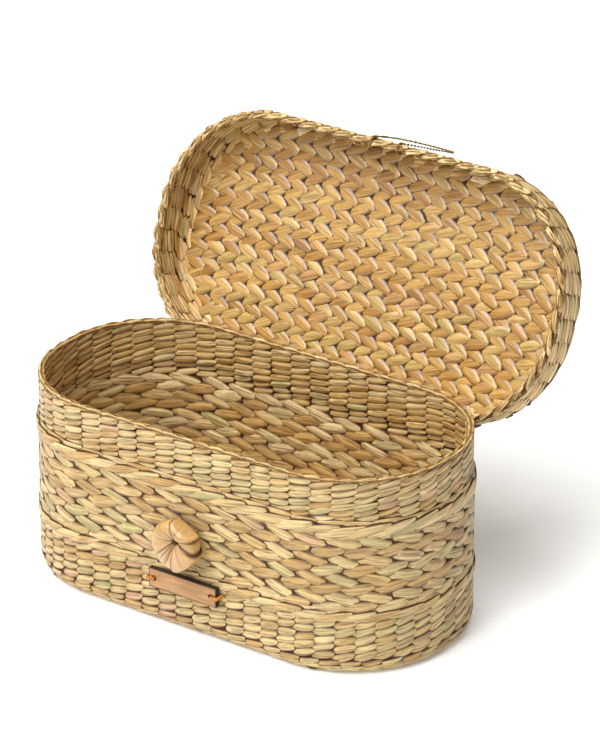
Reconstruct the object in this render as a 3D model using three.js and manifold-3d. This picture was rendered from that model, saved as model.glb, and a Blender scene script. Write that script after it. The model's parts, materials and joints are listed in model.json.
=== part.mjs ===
// Woven reed box with rounded ends and a hinged lid that slips over its neck.
// Millimetres, +Z up, X along the length, the front faces -Y.
// The origin is the middle of the underside. The lid is modelled shut, then turned open about its hinge.
import * as THREE from 'three';
import { mergeVertices } from 'three/addons/utils/BufferGeometryUtils.js';
import Module from 'manifold-3d';

const wasm = await Module();
wasm.setup();

// Body: outside sizes of the wall, and the heights of its woven bands from the ground up
const BODY_LENGTH = 260;
const BODY_DEPTH = 131;
const BODY_HEIGHT = 116.5;
const END_FLAT = 7;
const WALL = 3.6;
const BASE_THICKNESS = 3.6;
const FOOT_TURN = 6;
const FOOT_RISE = 9;
const LOWER_BAND_HEIGHT = 33;
const LOWER_WALE_HEIGHT = 5;
const UPPER_WALE_HEIGHT = 8;
const UPPER_WALE_ROWS = 2;
const WALE_PROUD = 0.9;
const NECK_INSET = 1;
const RIM_HEIGHT = 3.3;

// Courses: how many rows of the weave each form shows, and the groove between two rows
const LOWER_COURSES = 5;
const MIDDLE_COURSES = 8;
const UPPER_COURSES = 6;
const SKIRT_COURSES = 5;
const LID_MAT_ROWS = 24;
const COURSE_GROOVE = 0.6;

// Lid: its wall, its rolled border and how far it reaches down over the neck
const LID_WALL = 3;
const LID_PANEL_THICKNESS = 3.2;
const LID_TURN = 6;
const LID_OVERLAP = 21.5;
const LID_REST_GAP = 0.4;
const LID_SIDE_SLACK = 0.7;
const LID_FRONT_SLACK = 2.5;
const ROLL_RADIUS = 2;
const LID_OPEN_DEGREES = 113;

// Hinge: flat reed straps laced through the rear wall and round the lid's border
const LASHING_COUNT = 4;
const LASHING_WIDTH = 7;
const LASHING_THICKNESS = 1.2;
const LASHING_END_MARGIN = 17;
const LASHING_SEAT = 1.5;

// Closure: a folded reed knot on a short shank, and the twisted loop that drops over it.
// Folds run anticlockwise seen from the front: first degree, last degree, share of the knot's radius.
const KNOT_RADIUS = 15;
const KNOT_THICKNESS = 14;
const KNOT_FOLDS = [[-20, 8, 0.9], [8, 100, 0.88], [100, 195, 0.95], [195, 272, 0.97], [272, 340, 1]];
const KNOT_CREASE = 2;
const KNOT_DIMPLE = 3.2;
const KNOT_DROP = 2.4;
const TOGGLE_SHIFT = 3.3;
const KNOT_SOCKET_DEPTH = 4;
const SHANK_RADIUS = 2.6;
const STOPPER_RADIUS = 6;
const STOPPER_THICKNESS = 4;
const LOOP_CORD_RADIUS = 0.8;
const LOOP_SLIP = 1.5;
const LOOP_EYE_SPREAD = 18;
const LOOP_TIE_LENGTH = 14;

// Tag: a plain wooden plate tied on by a thong at each end
const TAG_LENGTH = 45;
const TAG_HEIGHT = 11.6;
const TAG_THICKNESS = 3.2;
const TAG_SHIFT = 3;
const TAG_DROP = 6;
const TAG_HOLE_INSET = 3.6;
const TAG_HOLE_RADIUS = 1.5;
const THONG_WIDTH = 2;
const THONG_THICKNESS = 1;

// Clearances: between fixed neighbours, and round a piece that moves
const SEAT_GAP = 0.3;
const RUNNING_GAP = 0.5;

// Facets: steps round a full turn of each form
const PLAN_STEPS = 32;
const ROLL_STEPS = 10;
const CORD_SIDES = 8;
const KNOT_STEPS = 40;
const KNOT_RINGS = 14;
const ARC_STEPS = 4;
const COURSE_STEPS = 3;

// Heights and places that follow from the sizes above
const HINGE_Z = BODY_HEIGHT - LID_OVERLAP;
const LASHING_INNER = ROLL_RADIUS + SEAT_GAP;
const LASHING_OUTER = LASHING_INNER + LASHING_THICKNESS;
const NECK_BOTTOM = HINGE_Z - LASHING_OUTER - LASHING_SEAT;
const UPPER_WALE_BOTTOM = NECK_BOTTOM - UPPER_WALE_HEIGHT;
const LOWER_WALE_TOP = LOWER_BAND_HEIGHT + LOWER_WALE_HEIGHT;
const NECK_HALF_DEPTH = BODY_DEPTH / 2 - NECK_INSET;
const HINGE_Y = NECK_HALF_DEPTH + LID_SIDE_SLACK + ROLL_RADIUS;
const EYE_RADIUS = ROLL_RADIUS + SEAT_GAP + LOOP_CORD_RADIUS;
const LID_FRONT_Y = -(NECK_HALF_DEPTH + LID_FRONT_SLACK + EYE_RADIUS + LOOP_CORD_RADIUS);
const LID_REACH = HINGE_Y - LID_FRONT_Y;
const LID_TOP = LID_OVERLAP + LID_REST_GAP + LID_PANEL_THICKNESS;
const KNOT_Z = (LOWER_WALE_TOP + UPPER_WALE_BOTTOM) / 2 - KNOT_DROP;

const WORLD_X = new THREE.Vector3(1, 0, 0);
const WORLD_Y = new THREE.Vector3(0, 1, 0);
const WORLD_Z = new THREE.Vector3(0, 0, 1);

const straw = { color: 0xcfae74, roughness: 0.62, metalness: 0 };
const paleStraw = { color: 0xdcc08a, roughness: 0.55, metalness: 0 };
const deepStraw = { color: 0xb99458, roughness: 0.6, metalness: 0 };
const tagWood = { color: 0xc99a6b, roughness: 0.6, metalness: 0 };
const amberThong = { color: 0xb5651d, roughness: 0.5, metalness: 0 };

// A rounded-rectangle plan: where its corner arcs are centred and how large they are
function plan(length, depth, endFlat, centreY = 0) {
  const radius = (depth - endFlat) / 2;
  return { radius, spreadX: length / 2 - radius, spreadY: endFlat / 2, centreY };
}

const bodyPlan = plan(BODY_LENGTH, BODY_DEPTH, END_FLAT);

// The lid's plan runs along the middle of its wall, in the hinge's own frame
function lidMidPlan() {
  const length = BODY_LENGTH - 2 * NECK_INSET + 2 * (LID_SIDE_SLACK + ROLL_RADIUS);
  const radius = length / 2 - bodyPlan.spreadX;
  return { radius, spreadX: bodyPlan.spreadX, spreadY: LID_REACH / 2 - radius, centreY: -LID_REACH / 2 };
}

const lidPlan = lidMidPlan();

function arcPoints(centreInset, centreHeight, radiusInset, radiusHeight, from, to, steps = ARC_STEPS) {
  const points = [];
  for (let i = 0; i <= steps; i += 1) {
    const angle = THREE.MathUtils.degToRad(from + ((to - from) * i) / steps);
    points.push([
      centreInset - radiusInset * Math.cos(angle),
      centreHeight + radiusHeight * Math.sin(angle),
    ]);
  }
  return points;
}

// A wall that follows the plan: a revolved profile whose four quarters are pulled apart.
// Profile points are [inset from the plan, height], up the outside and down the inside.
function wallAlong(shapePlan, profile) {
  const halfStep = Math.PI / PLAN_STEPS;
  const facetScale = 1 / Math.cos(halfStep);
  const outline = profile.map(
    ([inset, height]) => new THREE.Vector2((shapePlan.radius - inset) * facetScale, height),
  );
  outline.push(outline[0].clone());
  const wall = new THREE.LatheGeometry(outline, PLAN_STEPS, halfStep, 2 * Math.PI);
  wall.rotateX(Math.PI / 2);
  const position = wall.attributes.position;
  for (let i = 0; i < position.count; i += 1) {
    const x = position.getX(i);
    const y = position.getY(i);
    position.setXY(
      i,
      x + Math.sign(x) * shapePlan.spreadX,
      y + Math.sign(y) * shapePlan.spreadY + shapePlan.centreY,
    );
  }
  return wall;
}

// A flat woven mat that fills the plan at a given inset
function matWithin(shapePlan, inset, bottom, thickness) {
  const radius = shapePlan.radius - inset;
  const { spreadX, spreadY, centreY } = shapePlan;
  const outline = new THREE.Shape();
  outline.absarc(spreadX, spreadY, radius, 0, Math.PI / 2);
  outline.absarc(-spreadX, spreadY, radius, Math.PI / 2, Math.PI);
  outline.absarc(-spreadX, -spreadY, radius, Math.PI, 1.5 * Math.PI);
  outline.absarc(spreadX, -spreadY, radius, 1.5 * Math.PI, 2 * Math.PI);
  outline.closePath();
  const mat = new THREE.ExtrudeGeometry(outline, {
    depth: thickness,
    bevelEnabled: false,
    curveSegments: PLAN_STEPS / 4,
  });
  return mat.translate(0, centreY, bottom);
}

// An outline drawn in a plane and pushed through its thickness, centred on that plane
function slab(shape, thickness, across, up, curveSegments = ROLL_STEPS) {
  const body = new THREE.ExtrudeGeometry(shape, { depth: thickness, bevelEnabled: false, curveSegments });
  body.translate(0, 0, -thickness / 2);
  const normal = new THREE.Vector3().crossVectors(across, up);
  return body.applyMatrix4(new THREE.Matrix4().makeBasis(across, up, normal));
}

function block(width, depth, height, x, y, z) {
  return new THREE.BoxGeometry(width, depth, height).translate(x, y, z);
}

function toSolid(geometry) {
  const bare = new THREE.BufferGeometry();
  bare.setAttribute('position', geometry.attributes.position);
  bare.setIndex(geometry.index);
  const merged = mergeVertices(bare);
  return new wasm.Manifold(new wasm.Mesh({
    numProp: 3,
    vertProperties: new Float32Array(merged.attributes.position.array),
    triVerts: new Uint32Array(merged.index.array),
  }));
}

function toGeometry(solid) {
  const mesh = solid.getMesh();
  const geometry = new THREE.BufferGeometry();
  geometry.setAttribute('position', new THREE.BufferAttribute(mesh.vertProperties, 3));
  geometry.setIndex(new THREE.BufferAttribute(mesh.triVerts, 1));
  geometry.computeVertexNormals();
  return geometry;
}

function cutFrom(geometry, cutters) {
  return toGeometry(cutters.reduce((solid, cutter) => solid.subtract(toSolid(cutter)), toSolid(geometry)));
}

function joined(geometries) {
  const [first, ...others] = geometries.map(toSolid);
  return toGeometry(others.reduce((solid, other) => solid.add(other), first));
}

function part(name, geometry, finish) {
  const mesh = new THREE.Mesh(geometry, new THREE.MeshStandardMaterial(finish));
  mesh.name = name;
  return mesh;
}

// Rows of the weave up the outside of a wall: each swells to the wall's face between shallow grooves
function courses(inset, bottom, top, rows) {
  const rowHeight = (top - bottom) / rows;
  const outside = [[inset + COURSE_GROOVE, bottom]];
  for (let row = 0; row < rows; row += 1) {
    const middle = bottom + (row + 0.5) * rowHeight;
    const swell = arcPoints(
      inset + COURSE_GROOVE, middle, COURSE_GROOVE, rowHeight / 2, -90, 90, COURSE_STEPS,
    );
    outside.push(...swell.slice(1));
  }
  return outside;
}

// Wall bands: a stretch of plain courses, and a wale whose rows stand proud of it
function courseBand(inset, bottom, top, rows) {
  return [...courses(inset, bottom, top, rows), [inset + WALL, top], [inset + WALL, bottom]];
}

function waleBand(bottom, height, rows) {
  const rowHeight = height / rows;
  const outside = [];
  for (let row = 0; row < rows; row += 1) {
    const bulge = arcPoints(0, bottom + (row + 0.5) * rowHeight, WALE_PROUD, rowHeight / 2, -90, 90);
    outside.push(...(row === 0 ? bulge : bulge.slice(1)));
  }
  return [...outside, [WALL, bottom + height], [WALL, bottom]];
}

// The foot: the lower band turns in under the box to meet the base mat
function lowerBandProfile() {
  const outside = arcPoints(FOOT_TURN, FOOT_RISE, FOOT_TURN, FOOT_RISE, -90, 0);
  const innerRise = FOOT_RISE - BASE_THICKNESS;
  const innerTurn = FOOT_TURN - WALL;
  const inside = arcPoints(FOOT_TURN, FOOT_RISE, innerTurn, innerRise, 0, -90);
  const rows = courses(0, FOOT_RISE, LOWER_BAND_HEIGHT, LOWER_COURSES).slice(1);
  return [...outside, ...rows, [WALL, LOWER_BAND_HEIGHT], ...inside];
}

function bodyRimProfile() {
  const half = WALL / 2;
  const bottom = BODY_HEIGHT - RIM_HEIGHT;
  const roll = arcPoints(NECK_INSET + half, BODY_HEIGHT - half, half, half, 0, 180, 2 * ARC_STEPS);
  return [[NECK_INSET, bottom], ...roll, [NECK_INSET + WALL, bottom]];
}

// Lid wall: up from the rolled border, then turned in to meet the lid mat
function lidSkirtProfile() {
  const half = LID_WALL / 2;
  const bottom = ROLL_RADIUS + SEAT_GAP;
  const turnInset = LID_TURN - half;
  const turnHeight = LID_TOP - LID_TURN;
  const outside = arcPoints(turnInset, turnHeight, LID_TURN, LID_TURN, 0, 90);
  const inside = arcPoints(turnInset, turnHeight, LID_TURN - LID_WALL, LID_TURN - LID_PANEL_THICKNESS, 90, 0);
  const rows = courses(-half, bottom, turnHeight, SKIRT_COURSES);
  return [...rows, ...outside.slice(1), ...inside, [half, bottom]];
}

// The lid's mat: straight rows whose scalloped section is pushed along X and trimmed to the plan
function rowedMat(shapePlan, inset, bottom, thickness, rows) {
  const trim = toSolid(matWithin(shapePlan, inset, bottom, thickness));
  const reach = shapePlan.spreadY + shapePlan.radius - inset;
  const face = courses(0, -reach, reach, rows).map(([groove, y]) => [y, thickness / 2 - groove]);
  const section = new THREE.Shape([
    ...face.map(([y, z]) => new THREE.Vector2(y, z)),
    ...face.toReversed().map(([y, z]) => new THREE.Vector2(y, -z)),
  ]);
  const length = 2 * (shapePlan.spreadX + shapePlan.radius);
  const mat = slab(section, length, WORLD_Y, WORLD_Z);
  return toGeometry(toSolid(mat.translate(0, shapePlan.centreY, bottom + thickness / 2)).intersect(trim));
}

function lidRimProfile() {
  return arcPoints(0, 0, ROLL_RADIUS, ROLL_RADIUS, -180, 180 - 360 / ROLL_STEPS, ROLL_STEPS - 1);
}

// Hinge lashings: evenly spread along the straight stretch of the rear wall
function lashingPlaces() {
  const reach = bodyPlan.spreadX - LASHING_END_MARGIN;
  const places = [];
  for (let i = 0; i < LASHING_COUNT; i += 1) {
    places.push(-reach + (2 * reach * i) / (LASHING_COUNT - 1));
  }
  return places;
}

function lashingStrap() {
  const bridge = HINGE_Y - (NECK_HALF_DEPTH - WALL + LASHING_THICKNESS);
  const strap = new THREE.Shape();
  strap.moveTo(-bridge - LASHING_THICKNESS, -LASHING_OUTER);
  strap.lineTo(0, -LASHING_OUTER);
  strap.absarc(0, 0, LASHING_OUTER, -Math.PI / 2, Math.PI / 2);
  strap.lineTo(-bridge - LASHING_THICKNESS, LASHING_OUTER);
  strap.closePath();
  const eye = new THREE.Path();
  eye.moveTo(-bridge, -LASHING_INNER);
  eye.lineTo(0, -LASHING_INNER);
  eye.absarc(0, 0, LASHING_INNER, -Math.PI / 2, Math.PI / 2);
  eye.lineTo(-bridge, LASHING_INNER);
  eye.closePath();
  strap.holes.push(eye);
  return slab(strap, LASHING_WIDTH, WORLD_Y, WORLD_Z);
}

// Each lashing passes the wall through two slots, and its bridge lies flush in a pocket inside
function lashingSlots() {
  const slotWidth = LASHING_WIDTH + 2 * SEAT_GAP;
  const slotHeight = LASHING_THICKNESS + 2 * SEAT_GAP;
  const legHeight = (LASHING_INNER + LASHING_OUTER) / 2;
  const wallMiddle = NECK_HALF_DEPTH - WALL / 2;
  const pocketDepth = LASHING_THICKNESS + SEAT_GAP;
  const pocketHeight = 2 * (LASHING_OUTER + SEAT_GAP);
  const wallInside = NECK_HALF_DEPTH - WALL;
  return lashingPlaces().flatMap((x) => [
    ...[-1, 1].map((side) => block(slotWidth, 2 * WALL, slotHeight, x, wallMiddle, HINGE_Z + side * legHeight)),
    block(slotWidth, 2 * pocketDepth, pocketHeight, x, wallInside, HINGE_Z),
  ]);
}

// Closure loop: legs that spread along the lid's wall, a round end, and an eye round the border at each leg
const LOOP_HALF_WIDTH = KNOT_RADIUS + LOOP_SLIP + LOOP_CORD_RADIUS;
const LOOP_LENGTH = HINGE_Z - KNOT_Z + KNOT_RADIUS + LOOP_SLIP + LOOP_CORD_RADIUS;

function cordSection(radius) {
  return new THREE.Shape(new THREE.Path().absarc(0, 0, radius, 0, 2 * Math.PI).getPoints(CORD_SIDES / 4)
    .slice(0, -1));
}

function closureLoop() {
  const legTop = LOOP_LENGTH - LOOP_HALF_WIDTH;
  const eyeX = LOOP_EYE_SPREAD / 2;
  const leg = Array.from({ length: ARC_STEPS }, (_, i) => i / ARC_STEPS).map((share) => [
    -eyeX - (LOOP_HALF_WIDTH - eyeX) * Math.sin((share * Math.PI) / 2), share * legTop,
  ]);
  const left = [...leg, ...arcPoints(0, legTop, LOOP_HALF_WIDTH, LOOP_HALF_WIDTH, 0, 90)];
  const right = left.slice(0, -1).toReversed().map(([x, z]) => [-x, z]);
  const route = new THREE.CatmullRomCurve3(
    [...left, ...right].map(([x, z]) => new THREE.Vector3(x, -EYE_RADIUS, z)), false, 'centripetal',
  );
  const bight = new THREE.ExtrudeGeometry(cordSection(LOOP_CORD_RADIUS), {
    steps: PLAN_STEPS,
    extrudePath: route,
    bevelEnabled: false,
  });
  const eyes = [-1, 1].map((side) => new THREE.TorusGeometry(
    EYE_RADIUS, LOOP_CORD_RADIUS, CORD_SIDES, 2 * ROLL_STEPS,
  ).rotateY(Math.PI / 2).translate(side * eyeX, 0, 0));
  return joined([bight, ...eyes]);
}

function skirtNotches() {
  const bottom = ROLL_RADIUS;
  const strapTop = LASHING_OUTER + SEAT_GAP;
  const eyeTop = EYE_RADIUS + LOOP_CORD_RADIUS + SEAT_GAP;
  const strapNotches = lashingPlaces().map((x) => block(
    LASHING_WIDTH + 2 * SEAT_GAP, 2 * LID_WALL, strapTop - bottom, x, 0, (strapTop + bottom) / 2,
  ));
  const eyeNotches = [-1, 1].map((side) => block(
    2 * (LOOP_CORD_RADIUS + RUNNING_GAP), 2 * LID_WALL, eyeTop - bottom,
    TOGGLE_SHIFT + (side * LOOP_EYE_SPREAD) / 2, -LID_REACH, (eyeTop + bottom) / 2,
  ));
  return [...strapNotches, ...eyeNotches];
}

// The loop's tied-off end: a short run of its cord along the inside of the border, next to the left eye
function loopTie() {
  const reach = LOOP_TIE_LENGTH / 2 + LOOP_CORD_RADIUS;
  const x = TOGGLE_SHIFT - LOOP_EYE_SPREAD / 2 - LOOP_CORD_RADIUS - RUNNING_GAP - reach;
  const tie = new THREE.CapsuleGeometry(LOOP_CORD_RADIUS, LOOP_TIE_LENGTH, ARC_STEPS / 2, CORD_SIDES);
  return tie.rotateZ(Math.PI / 2).translate(x, -LID_REACH + EYE_RADIUS, 0);
}

// Toggle: a bun of unequal folds of wide reed, pinched in front, on a shank stopped inside the wall
const LOOP_HOOKED_Y = LID_FRONT_Y + EYE_RADIUS;
const KNOT_BACK_Y = LOOP_HOOKED_Y - LOOP_CORD_RADIUS - RUNNING_GAP;
const SHANK_HOLE_RADIUS = SHANK_RADIUS + SEAT_GAP;

// Which fold a direction falls in: its share of the radius, and how near its edge, from 0 to 1
function foldAt(angle) {
  const first = KNOT_FOLDS[0][0];
  const degrees = THREE.MathUtils.euclideanModulo(THREE.MathUtils.radToDeg(angle) - first, 360) + first;
  const [from, to, share] = KNOT_FOLDS.find(([, end]) => degrees <= end) ?? KNOT_FOLDS.at(-1);
  return { share, edge: Math.abs(2 * degrees - from - to) / (to - from) };
}

function toggleKnot() {
  const bun = new THREE.SphereGeometry(1, KNOT_STEPS, KNOT_RINGS).rotateX(Math.PI / 2);
  const position = bun.attributes.position;
  for (let i = 0; i < position.count; i += 1) {
    const x = position.getX(i);
    const y = position.getY(i);
    const z = position.getZ(i);
    const reach = Math.hypot(x, y);
    const { share, edge } = foldAt(Math.atan2(y, x));
    const crease = KNOT_CREASE * edge ** 4;
    const width = KNOT_RADIUS - reach * reach * (KNOT_RADIUS * (1 - share) + crease);
    const dimple = z > 0 ? KNOT_DIMPLE * (1 - reach) ** 2 : 0;
    position.setXYZ(i, x * width, y * width, z * KNOT_THICKNESS / 2 - dimple);
  }
  bun.applyMatrix4(new THREE.Matrix4().makeBasis(WORLD_X, WORLD_Z, WORLD_Y.clone().negate()));
  bun.translate(TOGGLE_SHIFT, KNOT_BACK_Y - KNOT_THICKNESS / 2, KNOT_Z);
  const socket = new THREE.CylinderGeometry(
    SHANK_HOLE_RADIUS, SHANK_HOLE_RADIUS, 2 * KNOT_SOCKET_DEPTH, 2 * ROLL_STEPS,
  ).translate(TOGGLE_SHIFT, KNOT_BACK_Y, KNOT_Z);
  return cutFrom(bun, [socket]);
}

function toggleShank() {
  const wallInside = -BODY_DEPTH / 2 + WALL;
  const front = KNOT_BACK_Y - KNOT_SOCKET_DEPTH + SEAT_GAP;
  const stopperFace = wallInside + SEAT_GAP;
  const stopperBack = stopperFace + STOPPER_THICKNESS;
  const rounding = STOPPER_THICKNESS / 2;
  const profile = [
    [0, front], [SHANK_RADIUS, front], [SHANK_RADIUS, stopperFace], [STOPPER_RADIUS - rounding, stopperFace],
    [STOPPER_RADIUS, stopperFace + rounding], [STOPPER_RADIUS - rounding, stopperBack], [0, stopperBack],
  ].map(([radius, y]) => new THREE.Vector2(radius, y));
  return joined([new THREE.LatheGeometry(profile, 2 * ROLL_STEPS).translate(TOGGLE_SHIFT, 0, KNOT_Z)]);
}

function shankHole() {
  const hole = new THREE.CylinderGeometry(SHANK_HOLE_RADIUS, SHANK_HOLE_RADIUS, 4 * WALL, 2 * ROLL_STEPS);
  return hole.translate(TOGGLE_SHIFT, -BODY_DEPTH / 2 + WALL / 2, KNOT_Z);
}

// Tag: the plate stands on the lower wale, and each thong goes through its hole and round its end
const TAG_Z = LOWER_BAND_HEIGHT + LOWER_WALE_HEIGHT / 2 - TAG_DROP;
const TAG_BACK_Y = -(BODY_DEPTH / 2 + WALE_PROUD + SEAT_GAP);
const TAG_FRONT_Y = TAG_BACK_Y - TAG_THICKNESS;
const THONG_FRONT_Y = TAG_FRONT_Y - SEAT_GAP - THONG_THICKNESS;
const THONG_BACK_Y = -BODY_DEPTH / 2 + WALL + SEAT_GAP + THONG_THICKNESS;

function tagPlate() {
  const plate = new THREE.Shape();
  plate.moveTo(-TAG_LENGTH / 2, -TAG_HEIGHT / 2);
  plate.lineTo(TAG_LENGTH / 2, -TAG_HEIGHT / 2);
  plate.lineTo(TAG_LENGTH / 2, TAG_HEIGHT / 2);
  plate.lineTo(-TAG_LENGTH / 2, TAG_HEIGHT / 2);
  plate.closePath();
  for (const side of [-1, 1]) {
    const hole = new THREE.Path();
    hole.absarc(side * (TAG_LENGTH / 2 - TAG_HOLE_INSET), 0, TAG_HOLE_RADIUS, 0, 2 * Math.PI);
    plate.holes.push(hole);
  }
  const board = slab(plate, TAG_THICKNESS, WORLD_X, WORLD_Z);
  return board.translate(TAG_SHIFT, (TAG_BACK_Y + TAG_FRONT_Y) / 2, TAG_Z);
}

// Places of a thong's two legs along X: through the tag's hole, and past the tag's end
function thongLegs(side) {
  return [
    TAG_SHIFT + side * (TAG_LENGTH / 2 - TAG_HOLE_INSET),
    TAG_SHIFT + side * (TAG_LENGTH / 2 + SEAT_GAP + THONG_THICKNESS / 2),
  ];
}

function rectangle(ShapeOrPath, left, right, bottom, top) {
  const outline = new ShapeOrPath();
  outline.moveTo(left, bottom);
  outline.lineTo(right, bottom);
  outline.lineTo(right, top);
  outline.lineTo(left, top);
  outline.closePath();
  return outline;
}

function tagThong(side) {
  const [left, right] = thongLegs(side).sort((a, b) => a - b);
  const half = THONG_THICKNESS / 2;
  const strip = rectangle(THREE.Shape, left - half, right + half, THONG_FRONT_Y, THONG_BACK_Y);
  strip.holes.push(rectangle(
    THREE.Path, left + half, right - half, THONG_FRONT_Y + THONG_THICKNESS, THONG_BACK_Y - THONG_THICKNESS,
  ));
  return slab(strip, THONG_WIDTH, WORLD_X, WORLD_Y).translate(0, 0, TAG_Z);
}

function thongSlots() {
  const width = THONG_THICKNESS + 2 * SEAT_GAP;
  const height = THONG_WIDTH + 2 * SEAT_GAP;
  const wallMiddle = -BODY_DEPTH / 2 + WALL / 2;
  return [-1, 1].flatMap((side) => thongLegs(side).map(
    (x) => block(width, 2 * WALL, height, x, wallMiddle, TAG_Z),
  ));
}

const neckTop = BODY_HEIGHT - RIM_HEIGHT;
const lowerBand = wallAlong(bodyPlan, lowerBandProfile());
const lowerWale = wallAlong(bodyPlan, waleBand(LOWER_BAND_HEIGHT, LOWER_WALE_HEIGHT, 1));
const middleBand = wallAlong(bodyPlan, courseBand(0, LOWER_WALE_TOP, UPPER_WALE_BOTTOM, MIDDLE_COURSES));
const upperWale = wallAlong(bodyPlan, waleBand(UPPER_WALE_BOTTOM, UPPER_WALE_HEIGHT, UPPER_WALE_ROWS));
const upperBand = wallAlong(bodyPlan, courseBand(NECK_INSET, NECK_BOTTOM, neckTop, UPPER_COURSES));

const box = new THREE.Group();
box.add(
  part('base_panel', matWithin(bodyPlan, FOOT_TURN + SEAT_GAP, 0, BASE_THICKNESS), deepStraw),
  part('lower_band', cutFrom(lowerBand, thongSlots()), straw),
  part('lower_wale', lowerWale, paleStraw),
  part('middle_band', cutFrom(middleBand, [shankHole()]), straw),
  part('upper_wale', upperWale, paleStraw),
  part('upper_band', cutFrom(upperBand, lashingSlots()), straw),
  part('body_rim', wallAlong(bodyPlan, bodyRimProfile()), paleStraw),
  part('toggle_knot', toggleKnot(), paleStraw),
  part('toggle_shank', toggleShank(), deepStraw),
  part('tag_plate', tagPlate(), tagWood),
  part('tag_thong_left', tagThong(-1), amberThong),
  part('tag_thong_right', tagThong(1), amberThong),
);
lashingPlaces().forEach((x, i) => {
  const lashing = part(`hinge_lashing_${i + 1}`, lashingStrap(), deepStraw);
  lashing.position.set(x, HINGE_Y, HINGE_Z);
  box.add(lashing);
});

const lid = new THREE.Group();
lid.position.set(0, HINGE_Y, HINGE_Z);
lid.rotation.x = -THREE.MathUtils.degToRad(LID_OPEN_DEGREES);
const lidMatInset = LID_TURN - LID_WALL / 2 + SEAT_GAP;
const lidMatBottom = LID_TOP - LID_PANEL_THICKNESS;
const lidMat = rowedMat(lidPlan, lidMatInset, lidMatBottom, LID_PANEL_THICKNESS, LID_MAT_ROWS);
lid.add(
  part('lid_panel', lidMat, straw),
  part('lid_skirt', cutFrom(wallAlong(lidPlan, lidSkirtProfile()), skirtNotches()), straw),
  part('lid_rim', wallAlong(lidPlan, lidRimProfile()), paleStraw),
  part('loop_tie', loopTie(), deepStraw),
);

const loop = part('closure_loop', closureLoop(), deepStraw);
loop.position.set(TOGGLE_SHIFT, -LID_REACH, 0);
lid.add(loop);
box.add(lid);

export default box;
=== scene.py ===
"""Dresses the woven reed box: twined walls, mats, borders, hinge lacings, toggle, loop and tag."""

import json
import logging
import math
import random
from dataclasses import dataclass, replace
from enum import Enum
from typing import Callable, Sequence

import bmesh
import bpy
import numpy as np
from mathutils import Matrix, Vector


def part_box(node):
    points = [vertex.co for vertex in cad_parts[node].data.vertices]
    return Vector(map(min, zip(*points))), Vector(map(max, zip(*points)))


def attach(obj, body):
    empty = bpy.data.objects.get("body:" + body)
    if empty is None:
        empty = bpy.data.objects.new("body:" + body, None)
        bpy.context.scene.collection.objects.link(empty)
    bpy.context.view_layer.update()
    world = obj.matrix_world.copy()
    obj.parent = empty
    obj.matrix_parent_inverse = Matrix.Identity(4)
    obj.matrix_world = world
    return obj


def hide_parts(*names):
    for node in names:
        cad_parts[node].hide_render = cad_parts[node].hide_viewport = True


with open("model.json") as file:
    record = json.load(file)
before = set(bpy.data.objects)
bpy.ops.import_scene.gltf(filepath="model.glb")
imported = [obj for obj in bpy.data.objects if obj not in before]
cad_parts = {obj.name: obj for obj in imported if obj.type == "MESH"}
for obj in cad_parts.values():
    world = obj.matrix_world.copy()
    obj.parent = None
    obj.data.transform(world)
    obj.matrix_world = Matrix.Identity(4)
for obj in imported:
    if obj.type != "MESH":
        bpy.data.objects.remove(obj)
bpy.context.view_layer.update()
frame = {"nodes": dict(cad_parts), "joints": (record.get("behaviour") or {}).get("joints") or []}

LOG = logging.getLogger("woven_box")
MM = 0.001
UP = Vector((0.0, 0.0, 1.0))
ACROSS = Vector((1.0, 0.0, 0.0))
BACK = Vector((0.0, 1.0, 0.0))
STITCH_SIDES = 8
STITCH_RINGS = 7
STITCH_MOULDS = 5
SEAT_GAP = 0.3


class Body(Enum):
    """The rigid bodies that pieces ride on."""

    BASKET = "basket"
    LID = "lid"
    LOOP = "loop"


class Slot(Enum):
    """The record's material slots."""

    WALL = "woven_reed"
    LID = "lid_reed"
    CORD = "reed_cord"
    WIDE = "wide_reed"
    WOOD = "tag_wood"
    THONG = "amber_thong"


class Face(Enum):
    """Which face of a wall or mat a row of stitches lies on."""

    OUTSIDE = 1
    INSIDE = -1


class Look(Enum):
    """The materials of a woven piece, by their place among its material slots."""

    FIRST_REED = 0
    STAKES = 1
    SECOND_REED = 2


def linear(code: str) -> tuple[float, float, float, float]:
    """Turns an sRGB hex colour to linear.

    Args:
        code: Six hex digits.

    Returns:
        Linear red, green, blue and an alpha of one.
    """
    parts = [int(code[i:i + 2], 16) / 255 for i in (0, 2, 4)]
    red, green, blue = (p / 12.92 if p <= 0.04045 else ((p + 0.055) / 1.055) ** 2.4 for p in parts)
    return red, green, blue, 1.0


def add_node(tree: bpy.types.NodeTree, kind: str, inputs: dict | Sequence = (),
             stops: Sequence[tuple[float, str]] = (), **settings: object) -> bpy.types.Node:
    """Adds a node with its settings and links.

    Args:
        tree: The material's node tree.
        kind: The node's type.
        inputs: Values or output sockets, in order or by input name or number.
        stops: Place and hex colour of each stop of a ramp, in rising order.
        **settings: The node's own properties.

    Returns:
        The new node.
    """
    node = tree.nodes.new(kind)
    for name, value in settings.items():
        setattr(node, name, value)
    for key, value in inputs.items() if isinstance(inputs, dict) else enumerate(inputs):
        if isinstance(value, bpy.types.NodeSocket):
            tree.links.new(value, node.inputs[key])
        else:
            node.inputs[key].default_value = value
    for number, (place, code) in enumerate(stops):
        elements = node.color_ramp.elements
        element = elements[number] if number < 2 else elements.new(place)
        element.position = place
        element.color = linear(code)
    return node


def new_material(name: str) -> tuple[bpy.types.Material, bpy.types.NodeTree]:
    """Makes an empty node material.

    Args:
        name: The material's name.

    Returns:
        The material and its tree.
    """
    material = bpy.data.materials.new(name)
    material.use_nodes = True
    material.node_tree.nodes.clear()
    return material, material.node_tree


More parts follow.
